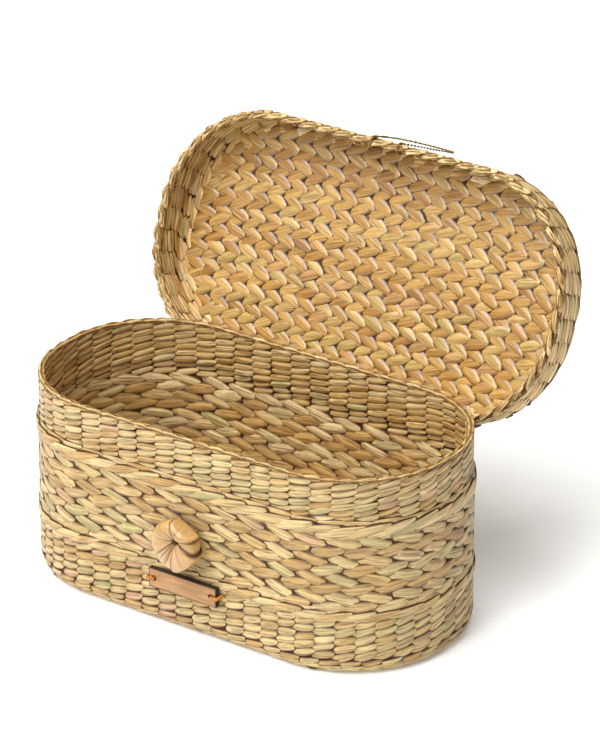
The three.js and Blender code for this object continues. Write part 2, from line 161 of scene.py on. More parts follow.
@dataclass(frozen=True)
class Finish:
    """A surface whose material is made once and then shared."""

    name: str

    def material(self) -> bpy.types.Material:
        """Makes the material, or finds it if it is made already."""
        made = bpy.data.materials.get(self.name)
        return made if made else self._make()

    def _make(self) -> bpy.types.Material:
        """Builds the node tree, which each finish does in its own way."""
        raise NotImplementedError


@dataclass(frozen=True)
class ReedFinish(Finish):
    """Split and dried reed: satin straw skin, dark fibre lines along the strand, painted shade in the
    hollows.

    Strands differ in tint because each comes from another stem; the tone attribute picks the stem.
    """

    tones: tuple[tuple[float, str], ...]
    painted_shade: str = "4C2804"
    line: str = "7A4A14"
    streak_depth: float = 0.42
    streak_length: float = 15.0
    streak_width: float = 0.8
    crease_width: float = 2.6
    split_width: float = 1.1
    split_depth: float = 0.62
    fleck_size: tuple[float, float] = (5.0, 0.9)
    roughness: float = 0.46
    specular: float = 0.3
    coat: float = 0.1
    bump: float = 0.85
    # Crest values over which a strand's low edges and ends darken to the painted shade colour
    edge: tuple[float, float] = (0.76, 0.88)

    def _make(self) -> bpy.types.Material:
        """Builds the node tree.

        Returns:
            The new material.
        """
        material, tree = new_material(self.name)
        tone, crest, fibre = (
            add_node(tree, "ShaderNodeAttribute", attribute_name=name)
            for name in ("tone", "crest", "fibre")
        )
        # Real fibres lie a quarter of a millimetre apart; the streaks are drawn coarser so that they show
        grain = []
        for length, width, detail in (
            (self.streak_length, self.streak_width, 3.0),
            (2 * self.streak_length, self.crease_width, 1.0),
            (1.6 * self.streak_length, self.split_width, 1.0),
            (*self.fleck_size, 2.0),
        ):
            stretched = add_node(tree, "ShaderNodeMapping", {
                "Vector": fibre.outputs["Vector"], "Scale": (1 / length, 1 / width, 1 / width),
                "Location": (7.0 * len(grain), 3.0 * len(grain), 11.0 * len(grain)),
            })
            noise = add_node(tree, "ShaderNodeTexNoise", {
                "Vector": stretched.outputs["Vector"], "Scale": 1.0, "Detail": detail, "Roughness": 0.6,
            })
            grain.append(noise.outputs["Fac"])
        streak, crease, split, fleck = grain
        colour = add_node(tree, "ShaderNodeValToRGB", (tone.outputs["Fac"],), self.tones).outputs["Color"]
        # Streaks and broad creases only shade the stem's own tint
        for value, low, high, dark, light in (
            (streak, 0.3, 0.72, 1 - self.streak_depth, 1.06),
            (crease, 0.36, 0.56, 0.76, 1.05),
        ):
            shade = add_node(tree, "ShaderNodeMapRange", (value, low, high, dark, light))
            colour = add_node(tree, "ShaderNodeMix", {0: 1.0, 6: colour, 7: shade.outputs["Result"]},
                              data_type="RGBA", blend_type="MULTIPLY").outputs[2]
        # Splits and flecks have colours of their own; the strand's low edges and ends take painted shade
        for value, low, high, first, last, tint in (
            (split, 0.56, 0.64, 0.0, self.split_depth, self.line),
            (fleck, 0.6, 0.78, 0.0, 0.5, self.line),
            (crest.outputs["Fac"], *self.edge, 0.96, 0.0, self.painted_shade),
        ):
            amount = add_node(tree, "ShaderNodeMapRange", (value, low, high, first, last))
            mix = {0: amount.outputs["Result"], 6: colour, 7: linear(tint)}
            colour = add_node(tree, "ShaderNodeMix", mix, data_type="RGBA").outputs[2]
        dull, sleek = self.roughness + 0.14, self.roughness - 0.05
        rough = add_node(tree, "ShaderNodeMapRange", (streak, 0.3, 0.72, dull, sleek))
        groove = add_node(tree, "ShaderNodeMapRange", (split, 0.54, 0.66, 0.5, 0.0))
        height = add_node(tree, "ShaderNodeMath", (streak, groove.outputs["Result"]), operation="ADD")
        bump = add_node(tree, "ShaderNodeBump", {
            "Height": height.outputs["Value"], "Strength": self.bump, "Distance": 0.25 * MM,
        })
        shader = add_node(tree, "ShaderNodeBsdfPrincipled", {
            "Base Color": colour, "Roughness": rough.outputs["Result"],
            "Normal": bump.outputs["Normal"], "Specular IOR Level": self.specular,
            "Coat Weight": self.coat, "Coat Roughness": 0.2,
        })
        add_node(tree, "ShaderNodeOutputMaterial", {"Surface": shader.outputs["BSDF"]})
        return material


@dataclass(frozen=True)
class ShadowFinish(Finish):
    """Reed stakes deep in the weave, painted matt dark brown as shade, so gaps between stitches read as
    depth.
    """

    dark: str
    light: str
    grain: float = 3.0

    def _make(self) -> bpy.types.Material:
        """Builds the node tree.

        Returns:
            The new material.
        """
        material, tree = new_material(self.name)
        place = add_node(tree, "ShaderNodeTexCoord").outputs["Object"]
        noise = add_node(tree, "ShaderNodeTexNoise", {
            "Vector": place, "Scale": 1 / (self.grain * MM), "Detail": 2.0,
        }).outputs["Fac"]
        colour = add_node(tree, "ShaderNodeValToRGB", (noise,), ((0.35, self.dark), (0.7, self.light)))
        rough = add_node(tree, "ShaderNodeMapRange", (noise, 0.3, 0.7, 0.8, 0.95))
        shader = add_node(tree, "ShaderNodeBsdfPrincipled", {
            "Base Color": colour.outputs["Color"], "Roughness": rough.outputs["Result"],
            "Specular IOR Level": 0.2,
        })
        add_node(tree, "ShaderNodeOutputMaterial", {"Surface": shader.outputs["BSDF"]})
        return material


WALL_REED = ReedFinish(
    "straw_reed_outside",
    ((0.0, "C69E62"), (0.15, "D3AF74"), (0.4, "DABA81"), (0.65, "E2C790"), (0.82, "DABF86"),
     (0.92, "CABA82"), (1.0, "D9B085")),
    "3E2004", split_depth=0.5, edge=(0.8, 0.9),
)
# A lighter copy of the reed with fainter edge shade: painted light, used inside the box and on the
# lacings
LIT_INNER_REED = ReedFinish(
    "straw_reed_inside_painted_light",
    ((0.0, "CEA462"), (0.3, "DDB674"), (0.6, "E8C688"), (0.82, "F0D49E"), (0.92, "D4C284"),
     (1.0, "E4B888")),
    edge=(0.76, 0.89),
)
# A still lighter copy of the reed for the lid's wall, painted light so that its inner face reads as lit
LIT_SKIRT_REED = ReedFinish(
    "straw_reed_lid_wall_painted_light",
    ((0.0, "E0B06A"), (0.3, "F0C884"), (0.6, "FAD898"), (0.82, "FFE6B0"), (0.92, "E6D28E"),
     (1.0, "F2C690")),
    edge=(0.7, 0.86),
)
LID_REED = ReedFinish(
    "glossy_reed_lid",
    ((0.0, "B68440"), (0.2, "C4954C"), (0.5, "CFA358"), (0.75, "DCB46C"), (0.9, "C4A75F"),
     (1.0, "CE9C62")),
    "3C1E04", roughness=0.32, coat=0.75, specular=0.5, streak_depth=0.34, split_depth=0.4,
    edge=(0.8, 0.9),
)
BORDER_REED = ReedFinish(
    "pale_reed_border",
    ((0.0, "C69C5C"), (0.35, "DAB87A"), (0.7, "E8CE98"), (0.88, "D2BE7E"), (1.0, "DAAE78")),
    "7E5826", streak_length=12.0, edge=(0.34, 0.6),
)
CORD_GRASS = ReedFinish(
    "twisted_grass_cord",
    ((0.0, "8F6A34"), (0.5, "B68F50"), (1.0, "CDAA6C")),
    "3E270D", streak_length=5.0, streak_width=0.3, roughness=0.6, edge=(0.48, 0.84),
)
WIDE_REED = ReedFinish(
    "folded_wide_reed",
    ((0.0, "B88E54"), (0.4, "C8A066"), (0.8, "D4B17A"), (1.0, "C2965C")),
    "4E2A08", "94632A", streak_length=14.0, streak_width=0.9, roughness=0.28, streak_depth=0.18,
    coat=0.8, split_depth=0.35, bump=0.5, edge=(0.48, 0.84),
)
STAKE_SHADOW = ShadowFinish("painted_shade_reed_stakes", "2C1704", "52320E")


@dataclass(frozen=True)
class RoundedPlan:
    """A rounded oblong seen from above, in millimetres, walked from the front's middle towards +X."""

    half_length: float
    half_depth: float
    end_flat: float
    centre_y: float = 0.0

    @property
    def radius(self) -> float:
        """Corner radius."""
        return self.half_depth - self.end_flat / 2

    @property
    def spread_x(self) -> float:
        """Half the straight length of the front."""
        return self.half_length - self.radius

    @property
    def perimeter(self) -> float:
        """Length all round."""
        return 4 * self.spread_x + 2 * self.end_flat + 2 * math.pi * self.radius

    def at(self, run: float, inset: float) -> tuple[Vector, Vector, Vector]:
        """Finds a place on the outline.

        Args:
            run: Distance walked along the outline.
            inset: How far inside the outline, negative for outside.

        Returns:
            The point, the direction of the walk and the outward direction.
        """
        sx, sy = self.spread_x, self.end_flat / 2
        quarter = math.pi / 2 * self.radius
        # Each leg: its length, where its centre starts, how far that moves, its first angle and its turn
        legs = (
            (sx, 0, -sy, sx, 0, -90, 0), (quarter, sx, -sy, 0, 0, -90, 90),
            (2 * sy, sx, -sy, 0, 2 * sy, 0, 0), (quarter, sx, sy, 0, 0, 0, 90),
            (2 * sx, sx, sy, -2 * sx, 0, 90, 0), (quarter, -sx, sy, 0, 0, 90, 90),
            (2 * sy, -sx, sy, 0, -2 * sy, 180, 0), (quarter, -sx, -sy, 0, 0, 180, 90),
            (sx, -sx, -sy, sx, 0, 270, 0),
        )
        left = run % self.perimeter
        for length, cx, cy, dx, dy, start, turn in legs:
            if left <= length:
                break
            left -= length
        share = min(left / length, 1.0)
        angle = math.radians(start + turn * share)
        out = Vector((math.cos(angle), math.sin(angle), 0.0))
        centre = Vector((cx + dx * share, cy + dy * share + self.centre_y, 0.0))
        return centre + out * (self.radius - inset), Vector((-out.y, out.x, 0.0)), out

    def half_width(self, y: float, inset: float) -> float:
        """Half the length of a straight row across the outline.

        Args:
            y: Where the row lies in depth.
            inset: How far inside the outline the row ends.

        Returns:
            Half the row's length, zero where the row misses the outline.
        """
        past = max(abs(y - self.centre_y) - self.end_flat / 2, 0.0)
        reach = (self.radius - inset) ** 2 - past ** 2
        return self.spread_x + math.sqrt(reach) if reach > 0 else 0.0


def extrude_ring(bm: bmesh.types.BMesh, edges: list[bmesh.types.BMEdge]) -> tuple[list, list, list]:
    """Extrudes a closed ring of edges.

    Args:
        bm: The mesh.
        edges: The ring's edges.

    Returns:
        The new ring's vertices, its edges, and the faces between the two rings.
    """
    made = bmesh.ops.extrude_edge_only(bm, edges=edges)["geom"]
    ring = [g for g in made if isinstance(g, bmesh.types.BMVert)]
    kept = set(ring)
    lines = [g for g in made if isinstance(g, bmesh.types.BMEdge)]
    faces = [g for g in made if isinstance(g, bmesh.types.BMFace)]
    return ring, [line for line in lines if kept.issuperset(line.verts)], faces


def ring_solid(bm: bmesh.types.BMesh, plan: RoundedPlan, profile: Sequence[tuple[float, float]],
               steps: int = 96) -> None:
    """Adds a closed wall whose section runs round a plan.

    Args:
        bm: The mesh to add to.
        plan: The outline that the wall follows.
        profile: Inset and height of each corner of the section, in order round it.
        steps: Number of steps round the plan.
    """
    turn = bm.verts.layers.float.get("turn") or bm.verts.layers.float.new("turn")
    ring = bmesh.ops.create_circle(bm, segments=steps, radius=1.0)["verts"]
    for i, vert in enumerate(ring):
        vert[turn] = plan.perimeter * i / steps
    edges = list({edge for vert in ring for edge in vert.link_edges})
    first = edges
    faces: list[bmesh.types.BMFace] = []
    for place, (inset, height) in enumerate(profile):
        if place:
            ring, edges, made = extrude_ring(bm, edges)
            faces += made
        for vert in ring:
            vert.co = plan.at(vert[turn], inset)[0] + UP * height
    faces += bmesh.ops.bridge_loops(bm, edges=first + edges)["faces"]
    bmesh.ops.recalc_face_normals(bm, faces=faces)


def plate_solid(bm: bmesh.types.BMesh, plan: RoundedPlan, inset: float, low: float, high: float,
                steps: int = 96) -> None:
    """Adds a flat closed plate within a plan.

    Args:
        bm: The mesh to add to.
        plan: The outline.
        inset: How far inside the outline the plate ends.
        low: Height of its underside.
        high: Height of its top.
        steps: Number of steps round the plan.
    """
    ring = bmesh.ops.create_circle(bm, cap_ends=True, segments=steps, radius=1.0)["verts"]
    for i, vert in enumerate(ring):
        vert.co = plan.at(plan.perimeter * i / steps, inset)[0] + UP * low
    cap = ring[0].link_faces[0]
    made = bmesh.ops.extrude_face_region(bm, geom=[cap], use_keep_orig=True)["geom"]
    top = [g for g in made if isinstance(g, bmesh.types.BMVert)]
    bmesh.ops.translate(bm, vec=UP * (high - low), verts=top)
    faces = list({face for vert in ring + top for face in vert.link_faces})
    bmesh.ops.recalc_face_normals(bm, faces=faces)


@dataclass(frozen=True)
class Stitch:
    """One visible stroke of a weaving strand, in millimetres: a plump leaf with its tip over the next.

    Fullness and point shape its tail and its tip, dip drops both ends, tuck sinks the tail under the
    stroke before, shear cuts the ends askew, and shade says how dark its edges are.
    """

    length: float
    width: float
    rise: float = 1.5
    dip: float = 0.6
    fullness: float = 0.5
    point: float = 0.62
    tuck: float = 0.26
    shear: float = 0.4
    shade: float = 0.85


class StitchMould:
    """A few variants of one stitch, as small meshes that rows are laid from."""

    def __init__(self, stitch: Stitch, seed: int) -> None:
        """Makes the variants.

        Args:
            stitch: The stitch's size.
            seed: Seed of the small differences between variants.
        """
        self.stitch = stitch
        self.meshes: list[bpy.types.Mesh] = []
        self.places: list[np.ndarray] = []
        self.crests: list[np.ndarray] = []
        rng = random.Random(seed)
        for number in range(STITCH_MOULDS):
            self._variant(rng, f"stitch_{seed}_{number}")

    def _variant(self, rng: random.Random, name: str) -> None:
        """Makes one variant.

        Args:
            rng: Source of its small differences.
            name: Name of its mesh.
        """
        s = self.stitch
        bow = rng.uniform(-0.06, 0.06) * s.width
        lean = rng.uniform(-0.2, 0.2)
        flat = rng.uniform(0.55, 0.75)
        bm = bmesh.new()
        bmesh.ops.create_uvsphere(bm, u_segments=STITCH_SIDES, v_segments=STITCH_RINGS, radius=1.0)
        crests = []
        for vert in bm.verts:
            t = 1 - 2 * math.acos(max(-1.0, min(1.0, vert.co.z))) / math.pi
            around = math.atan2(vert.co.y, vert.co.x) if abs(t) < 0.999 else 0.0
            taper = max(1 - t * t, 0.0) ** (s.fullness if t < 0 else s.point)
            front = math.sin(around)
            thick = abs(front) ** flat * (1.0 if front > 0 else -0.5)
            arch = math.cos(math.pi * t / 2)
            across = s.width / 2 * taper * math.cos(around) + bow * arch
            swell = s.rise * taper * thick * (1 + lean * math.cos(around))
            out = swell + s.dip * (arch - 1) + s.tuck * (t - 0.2)
            vert.co = Vector((t * s.length / 2, across, out))
            # The crest puts painted shade on the stitch's low edges and both ends, where it meets its
            # neighbours
            ridge = min(max(thick, 0.0), max(1 - abs(t), 0.0) / 0.16, 1.0)
            crests.append(1 - s.shade * (1 - ridge))
        bmesh.ops.recalc_face_normals(bm, faces=bm.faces)
        mesh = bpy.data.meshes.new(name)
        bm.to_mesh(mesh)
        bm.free()
        places = np.zeros(len(mesh.vertices) * 3, np.float32)
        mesh.vertices.foreach_get("co", places)
        self.meshes.append(mesh)
        self.places.append(places.reshape(-1, 3))
        self.crests.append(np.array(crests, np.float32))


def strand_place(point: Vector, along: Vector, out: Vector, lean: float, slant: float,
                 sink: float) -> Matrix:
    """Turns a place on a wall to the frame that a stitch is laid in.

    Args:
        point: Place on the wall's face.
        along: Direction of the row.
        out: Level outward direction.
        lean: Degrees that the face leans up from upright.
        slant: Degrees that the stitch climbs along the row.
        sink: How far the stitch's own line lies under the face.

    Returns:
        The frame: X along the stitch, Y across it, Z out of the wall.
    """
    tilt, climb = math.radians(lean), math.radians(slant)
    normal = out * math.cos(tilt) + UP * math.sin(tilt)
    rise = UP * math.cos(tilt) - out * math.sin(tilt)
    x_axis = along * math.cos(climb) + rise * math.sin(climb)
    y_axis = rise * math.cos(climb) - along * math.sin(climb)
    place = Matrix((x_axis, y_axis, normal)).transposed().to_4x4()
    place.translation = point - normal * sink
    return place


@dataclass(frozen=True)
class HandWork:
    """How hands lay the rows: how far strokes stray, and where the rows of a mat end.

    Slants are in degrees, and ring_height, mat_run and mat_depth in millimetres. The rest are shares.
    """

    new_strand: float = 0.16
    tint: float = 0.07
    ring_run: float = 0.05
    ring_height: float = 0.2
    ring_slant: float = 3.5
    mat_run: float = 0.3
    mat_depth: float = 0.12
    mat_slant: float = 4.0
    mat_end: float = 0.42
    mat_border: float = 0.27
    mat_push: float = 0.7


HAND = HandWork()


@dataclass(frozen=True)
class Course:
    """How one face is woven: stitch, rows, stitches to a row, slants in turn and shift of odd rows."""

    stitch: Stitch
    rows: int
    count: int
    slants: tuple[float, float]
    shift: float = 0.0


class Weave:
    """Gathers one piece's stitches and the dark stakes, painted shade, behind them, and makes one mesh of
    them.
    """

    def __init__(self, name: str, seed: int) -> None:
        """Starts an empty piece.

        Args:
            name: The piece's name.
            seed: Seed of tones and small shifts.
        """
        self.name = name
        self.rng = random.Random(seed)
        self.bm = bmesh.new()
        self.fibres: list[np.ndarray] = []
        self.crests: list[np.ndarray] = []
        self.tones: list[np.ndarray] = []
        self.core_count = 0
        self.look = Look.FIRST_REED

    def stray(self, most: float) -> float:
        """Draws a small shift either way."""
        return self.rng.uniform(-most, most)

    def end_core(self) -> None:
        """Counts the core's vertices and marks its faces, before any stitch is laid."""
        self.core_count = len(self.bm.verts)
        for face in self.bm.faces:
            # The core's faces take the dark stakes' finish, painted shade for the gaps between stitches
            face.material_index = Look.STAKES.value

    def lay(self, mould: StitchMould, place: Matrix, tone: float, slant: float,
            bend: float = 0.0) -> None:
        """Lays one stitch.

        Args:
            mould: The stitch's variants.
            place: Its frame, in millimetres.
            tone: Which stem's tint it has, from 0 to 1.
            slant: Degrees that it climbs, by whose sign its ends are cut askew.
            bend: Curvature that it follows, per millimetre, positive where the wall swells out.
        """
        pick = self.rng.randrange(STITCH_MOULDS)
        mesh = mould.meshes[pick]
        spread = (self.rng.uniform(0.95, 1.06), self.rng.uniform(0.9, 1.12), self.rng.uniform(0.9, 1.1))
        shear = math.copysign(mould.stitch.shear, slant)
        askew = Matrix(((1.0, shear, 0.0), (0.0, 1.0, 0.0), (0.0, 0.0, 1.0)))
        turn = np.array(place.to_3x3() @ askew @ Matrix.Diagonal(spread), np.float32)
        bent = mould.places[pick].copy()
        bent[:, 2] -= bend * bent[:, 0] ** 2 / 2
        moved = bent @ turn.T + np.array(place.translation, np.float32)
        mesh.vertices.foreach_set("co", moved.ravel())
        looks = np.full(len(mesh.polygons), self.look.value, np.int32)
        mesh.polygons.foreach_set("material_index", looks)
        self.bm.from_mesh(mesh)
        # Each strand shows another stretch of the fibre pattern
        shift = np.array([self.rng.uniform(0, reach) for reach in (900, 90, 90)], np.float32)
        self.fibres.append(mould.places[pick] + shift)
        self.crests.append(mould.crests[pick])
        self.tones.append(np.full(len(mould.crests[pick]), tone, np.float32))

    def tone_run(self) -> Callable[[int], float]:
        """Draws the tints of a row's two strands, which change where a new strand is let in.

        Returns:
            What gives the tint of each stitch of the row, in order.
        """
        strands = [self.rng.random(), self.rng.random()]

        def tone(number: int) -> float:
            """Draws the tint of one stitch.

            Args:
                number: Its number in the row.

            Returns:
                Its tint, from 0 to 1.
            """
            if self.rng.random() < HAND.new_strand:
                strands[number % 2] = self.rng.random()
            return min(max(strands[number % 2] + self.stray(HAND.tint), 0.0), 1.0)

        return tone

    def ring_row(self, mould: StitchMould, plan: RoundedPlan, inset: float, height: float, count: int,
                 face: Face = Face.OUTSIDE, slant: float = 0.0, lean: float = 0.0, phase: float = 0.0,
                 skip: Callable[[Vector], bool] | None = None) -> None:
        """Lays a row of stitches round a wall.

        Args:
            mould: The stitch's variants.
            plan: The wall's outline.
            inset: Where the wall's face lies inside the outline.
            height: The row's height.
            count: Stitches round the wall.
            face: Which face of the wall.
            slant: Degrees that the stitches climb, seen from their own face.
            lean: Degrees that the face leans up.
            phase: Share of a stitch that the row is shifted by.
            skip: Says which places stay free.
        """
        tone = self.tone_run()
        side = face.value
        length = mould.stitch.length
        for number in range(count):
            run = plan.perimeter * (number + phase + self.stray(HAND.ring_run)) / count
            point, along, out = plan.at(run, inset)
            point.z = height + self.stray(HAND.ring_height)
            climb = slant + self.stray(HAND.ring_slant)
            tint = tone(number)
            if skip and skip(point):
                continue
            place = strand_place(point, along * side, out * side, lean, climb, mould.stitch.rise)
            before, after = (plan.at(run + step, inset)[2] for step in (-length / 2, length / 2))
            bend = side * before.angle(after) / length * math.cos(math.radians(lean))
            self.lay(mould, place, tint, slant, bend)

    def courses(self, course: Course, seed: int, plan: RoundedPlan, inset: float, low: float, high: float,
                face: Face, look: Look) -> None:
        """Lays the rows of one face of an upright wall.

        Args:
            course: Their stitch and how they are laid.
            seed: Seed of the stitch's variants.
            plan: The wall's outline.
            inset: Where the face lies inside the outline.
            low: Lower edge of the rows.
            high: Upper edge of the rows.
            face: Which face of the wall.
            look: Their reed.
        """
        mould = StitchMould(course.stitch, seed)
        self.look = look
        for row in range(course.rows):
            odd = row % 2
            height = low + (row + 0.5) * (high - low) / course.rows
            self.ring_row(mould, plan, inset, height, course.count, face, course.slants[odd],
                          phase=course.shift * odd)
        self.look = Look.FIRST_REED

    def mat_row(self, mould: StitchMould, plan: RoundedPlan, inset: float, y: float, height: float,
                pitch: float, face: Face, slant: float, phase: float, bow: float = 0.0) -> None:
        """Lays a row of stitches across a mat.

        Args:
            mould: The stitch's variants.
            plan: The mat's outline.
            inset: How far inside the outline the row ends.
            y: The row's place in depth.
            height: Height of the mat's face.
            pitch: Distance between stitches.
            face: OUTSIDE for the top and INSIDE for the underside.
            slant: Degrees that the stitches climb across the row.
            phase: Share of a stitch that the row is shifted by.
            bow: How far the row's ends droop, by the cube of the distance from its middle.
        """
        stitch = mould.stitch
        tone = self.tone_run()
        count = int(2 * plan.half_length / pitch) + 4
        for number in range(count):
            x = (number - count / 2 + phase) * pitch + self.stray(HAND.mat_run)
            here = y + bow * abs(x) ** 3 + self.stray(HAND.mat_depth)
            tint = tone(number)
            droop = math.degrees(math.atan(3 * bow * x * abs(x)))
            climb = slant + self.stray(HAND.mat_slant) + droop
            reach = plan.half_width(here, inset) - stitch.length * HAND.mat_end
            edge = plan.half_depth - abs(here - plan.centre_y)
            if edge < inset + HAND.mat_border * stitch.width or abs(x) > reach + HAND.mat_push * pitch:
                continue
            # The last stroke of a row is pushed back to end at the wall
            point = Vector((min(max(x, -reach), reach), here, height))
            out = Vector((0.0, -face.value, 0.0))
            place = strand_place(point, ACROSS, out, 90.0 * face.value, climb, stitch.rise)
            self.lay(mould, place, tint, slant)

    def finish(self, finishes: Sequence[ReedFinish], body: Body, slot: Slot, nodes: Sequence[str],
               place: Matrix | None = None) -> bpy.types.Object:
        """Makes the piece's object.

        Args:
            finishes: The first reed, and the second where the piece has one.
            body: What it rides on.
            slot: Its material slot.
            nodes: The CAD nodes that it stands for.
            place: Turn and shift to its rest place, in millimetres.

        Returns:
            The finished piece.
        """
        mesh = bpy.data.meshes.new(self.name)
        self.bm.to_mesh(mesh)
        self.bm.free()
        blank = self.core_count
        tones = np.concatenate([np.zeros(blank, np.float32), *self.tones])
        crests = np.concatenate([np.zeros(blank, np.float32), *self.crests])
        fibres = np.concatenate([np.zeros((blank, 3), np.float32), *self.fibres])
        mesh.attributes.new("tone", "FLOAT", "POINT").data.foreach_set("value", tones)
        mesh.attributes.new("crest", "FLOAT", "POINT").data.foreach_set("value", crests)
        mesh.attributes.new("fibre", "FLOAT_VECTOR", "POINT").data.foreach_set("vector", fibres.ravel())
        looks = np.zeros(len(mesh.polygons), np.int32)
        mesh.polygons.foreach_get("material_index", looks)
        mesh.polygons.foreach_set("use_smooth", looks != Look.STAKES.value)
        materials = [finishes[0].material(), STAKE_SHADOW.material()]
        materials += [finish.material() for finish in finishes[1:]]
        return add_piece(self.name, mesh, materials, body, slot, nodes, place)


def add_piece(name: str, mesh: bpy.types.Mesh, materials: Sequence[bpy.types.Material], body: Body,
              slot: Slot, nodes: Sequence[str], place: Matrix | None = None) -> bpy.types.Object:
    """Makes an object of a mesh in millimetres and ties it to the frame.

    Args:
        name: The piece's name.
        mesh: Its mesh, in millimetres.
        materials: Its materials, in slot order.
        body: What it rides on.
        slot: Its material slot; not used.
        nodes: The CAD nodes that it stands for.
        place: Turn and shift to its rest place, in millimetres.

    Returns:
        The piece.
    """
    mesh.transform(Matrix.Scale(MM, 4) @ (place or Matrix.Identity(4)))
    for material in materials:
        mesh.materials.append(material)
    piece = bpy.data.objects.new(name, mesh)
    bpy.context.scene.collection.objects.link(piece)
    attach(piece, body.value)
    if nodes:
        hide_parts(*nodes)
    LOG.info("%s: %d faces on %s", name, len(mesh.polygons), body.value)
    return piece


def path_frames(points: Sequence[Vector], closed: bool, first_up: Vector) -> list[Matrix]:
    """Works out frames along a path that don't twist about it.

    Args:
        points: The path.
        closed: Whether it runs back to its start.
        first_up: Direction that the first frame's X keeps to.

    Returns:
        One frame for each point: X and Y across the path, Z along it.
    """
    count = len(points)
    frames = []
    across = first_up
    for i, point in enumerate(points):
        after = points[(i + 1) % count] if closed or i + 1 < count else point
        before = points[i - 1] if closed or i else point
        along = (after - before).normalized()
        across = (across - along * across.dot(along)).normalized()
        frame_here = Matrix((across, along.cross(across), along)).transposed().to_4x4()
        frame_here.translation = point
        frames.append(frame_here)
    return frames


class Strands:
    """Gathers swept strands, such as a cord's plies or flat reed lacings, and makes one mesh of them."""

    def __init__(self, name: str, seed: int) -> None:
        """Starts an empty piece.

        Args:
            name: The piece's name.
            seed: Seed of the strands' tints.
        """
        self.name = name
        self.rng = random.Random(seed)
        self.bm = bmesh.new()
        self.tone = self.bm.verts.layers.float.new("tone")
        self.crest = self.bm.verts.layers.float.new("crest")
        self.fibre = self.bm.verts.layers.float_vector.new("fibre")

    def sweep(self, frames: Sequence[Matrix], half_x: float, half_y: float, closed: bool = False,
              sides: int = 8, tone: float | None = None,
              crest: Callable[[Vector], float] | None = None) -> None:
        """Sweeps an oval section along frames.

        Args:
            frames: Where the section stands, step by step.
            half_x: Half its size along the frames' X.
            half_y: Half its size along the frames' Y.
            closed: Whether the strand runs back to its start.
            sides: Sides of the section.
            tone: Its tint, or a drawn one.
            crest: How far out of the hollows a vertex stands, from 0 to 1, by its place.
        """
        tint = self.rng.random() if tone is None else tone
        shift = self.rng.uniform(0, 900)
        shape = Matrix.Diagonal((half_x, half_y, 1.0, 1.0))
        ring = bmesh.ops.create_circle(self.bm, cap_ends=not closed, segments=sides, radius=1.0,
                                       matrix=frames[0] @ shape)["verts"]
        edges = list({edge for vert in ring for edge in vert.link_edges})
        first = edges
        faces = [] if closed else list(ring[0].link_faces)
        run = 0.0
        for number, here in enumerate(frames):
            if number:
                last = frames[number - 1]
                run += (here.translation - last.translation).length
                ring, edges, made = extrude_ring(self.bm, edges)
                faces += made
                bmesh.ops.transform(self.bm, matrix=here @ last.inverted(), verts=ring)
            back = here.inverted()
            for vert in ring:
                local = back @ vert.co
                vert[self.fibre] = Vector((run + shift, local.x + shift, local.y))
                vert[self.tone] = tint
                vert[self.crest] = crest(vert.co) if crest else 1.0
        if closed:
            faces += bmesh.ops.bridge_loops(self.bm, edges=first + edges)["faces"]
        else:
            faces += bmesh.ops.contextual_create(self.bm, geom=edges)["faces"]
        bmesh.ops.recalc_face_normals(self.bm, faces=faces)

    def rope(self, points: Sequence[Vector], radius: float, plies: int, lay_length: float,
             closed: bool = False, first_up: Vector = UP, sides: int = 8) -> None:
        """Twists plies about a path.

        Args:
            points: The rope's own line, evenly stepped.
            radius: The rope's outer radius.
            plies: How many plies.
            lay_length: Length of one full twist.
            closed: Whether the rope runs back to its start.
            first_up: Direction that the twist starts from.
            sides: Sides of each ply.
        """
        frames = path_frames(points, closed, first_up)
        steps = [(b - a).length for a, b in zip(points, points[1:])]
        total = sum(steps) + ((points[0] - points[-1]).length if closed else 0.0)
        turns = max(round(total / lay_length), 1) if closed else total / lay_length
        # Two plies lie closer to the rope's line than three
        offset = radius * (0.44 if plies == 2 else 0.5)
        runs = np.concatenate([[0.0], np.cumsum(steps)])
        base = self.rng.random()
        for ply in range(plies):
            places = []
            for run, here in zip(runs, frames):
                angle = 2 * math.pi * (turns * run / total + ply / plies)
                twisted = here @ Matrix.Rotation(angle, 4, "Z")
                places.append(twisted @ Matrix.Translation((offset, 0.0, 0.0)))
            tint = min(max(base + self.rng.uniform(-0.25, 0.25), 0.0), 1.0)
            self._ply(places, points, radius, offset, closed, sides, tint)

    def _ply(self, places: Sequence[Matrix], points: Sequence[Vector], radius: float, offset: float,
             closed: bool, sides: int, tint: float) -> None:
        """Sweeps one ply, darker with painted shade where it turns to the rope's middle.

        Args:
            places: The ply's frames.
            points: The rope's own line.
            radius: The rope's radius.
            offset: How far the ply's line lies from the rope's.
            closed: Whether it runs back to its start.
            sides: Sides of the ply.
            tint: Its tone.
        """
        line = np.array([tuple(p) for p in points])

        def crest(co: Vector) -> float:
            """Share of the rope's radius at which a vertex stands."""
            gap = np.linalg.norm(line - np.array(co), axis=1).min()
            return min(max((gap / radius - 0.4) / 0.5, 0.0), 1.0)

        self.sweep(places, radius - offset, (radius - offset) * 1.12, closed, sides, tint, crest)

    def finish(self, finish: ReedFinish, body: Body, slot: Slot, nodes: Sequence[str],
               place: Matrix | None = None) -> bpy.types.Object:
        """Makes the piece's object.

        Args:
            finish: Its reed.
            body: What it rides on.
            slot: Its material slot.
            nodes: The CAD nodes that it stands for.
            place: Turn and shift to its rest place, in millimetres.

        Returns:
            The finished piece.
        """
        mesh = bpy.data.meshes.new(self.name)
        self.bm.to_mesh(mesh)
        self.bm.free()
        mesh.polygons.foreach_set("use_smooth", np.ones(len(mesh.polygons), bool))
        return add_piece(self.name, mesh, [finish.material()], body, slot, nodes, place)


def box_mm(node: str) -> tuple[Vector, Vector]:
    """A CAD node's lowest and highest corners, in millimetres."""
    low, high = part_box(node)
    return low / MM, high / MM


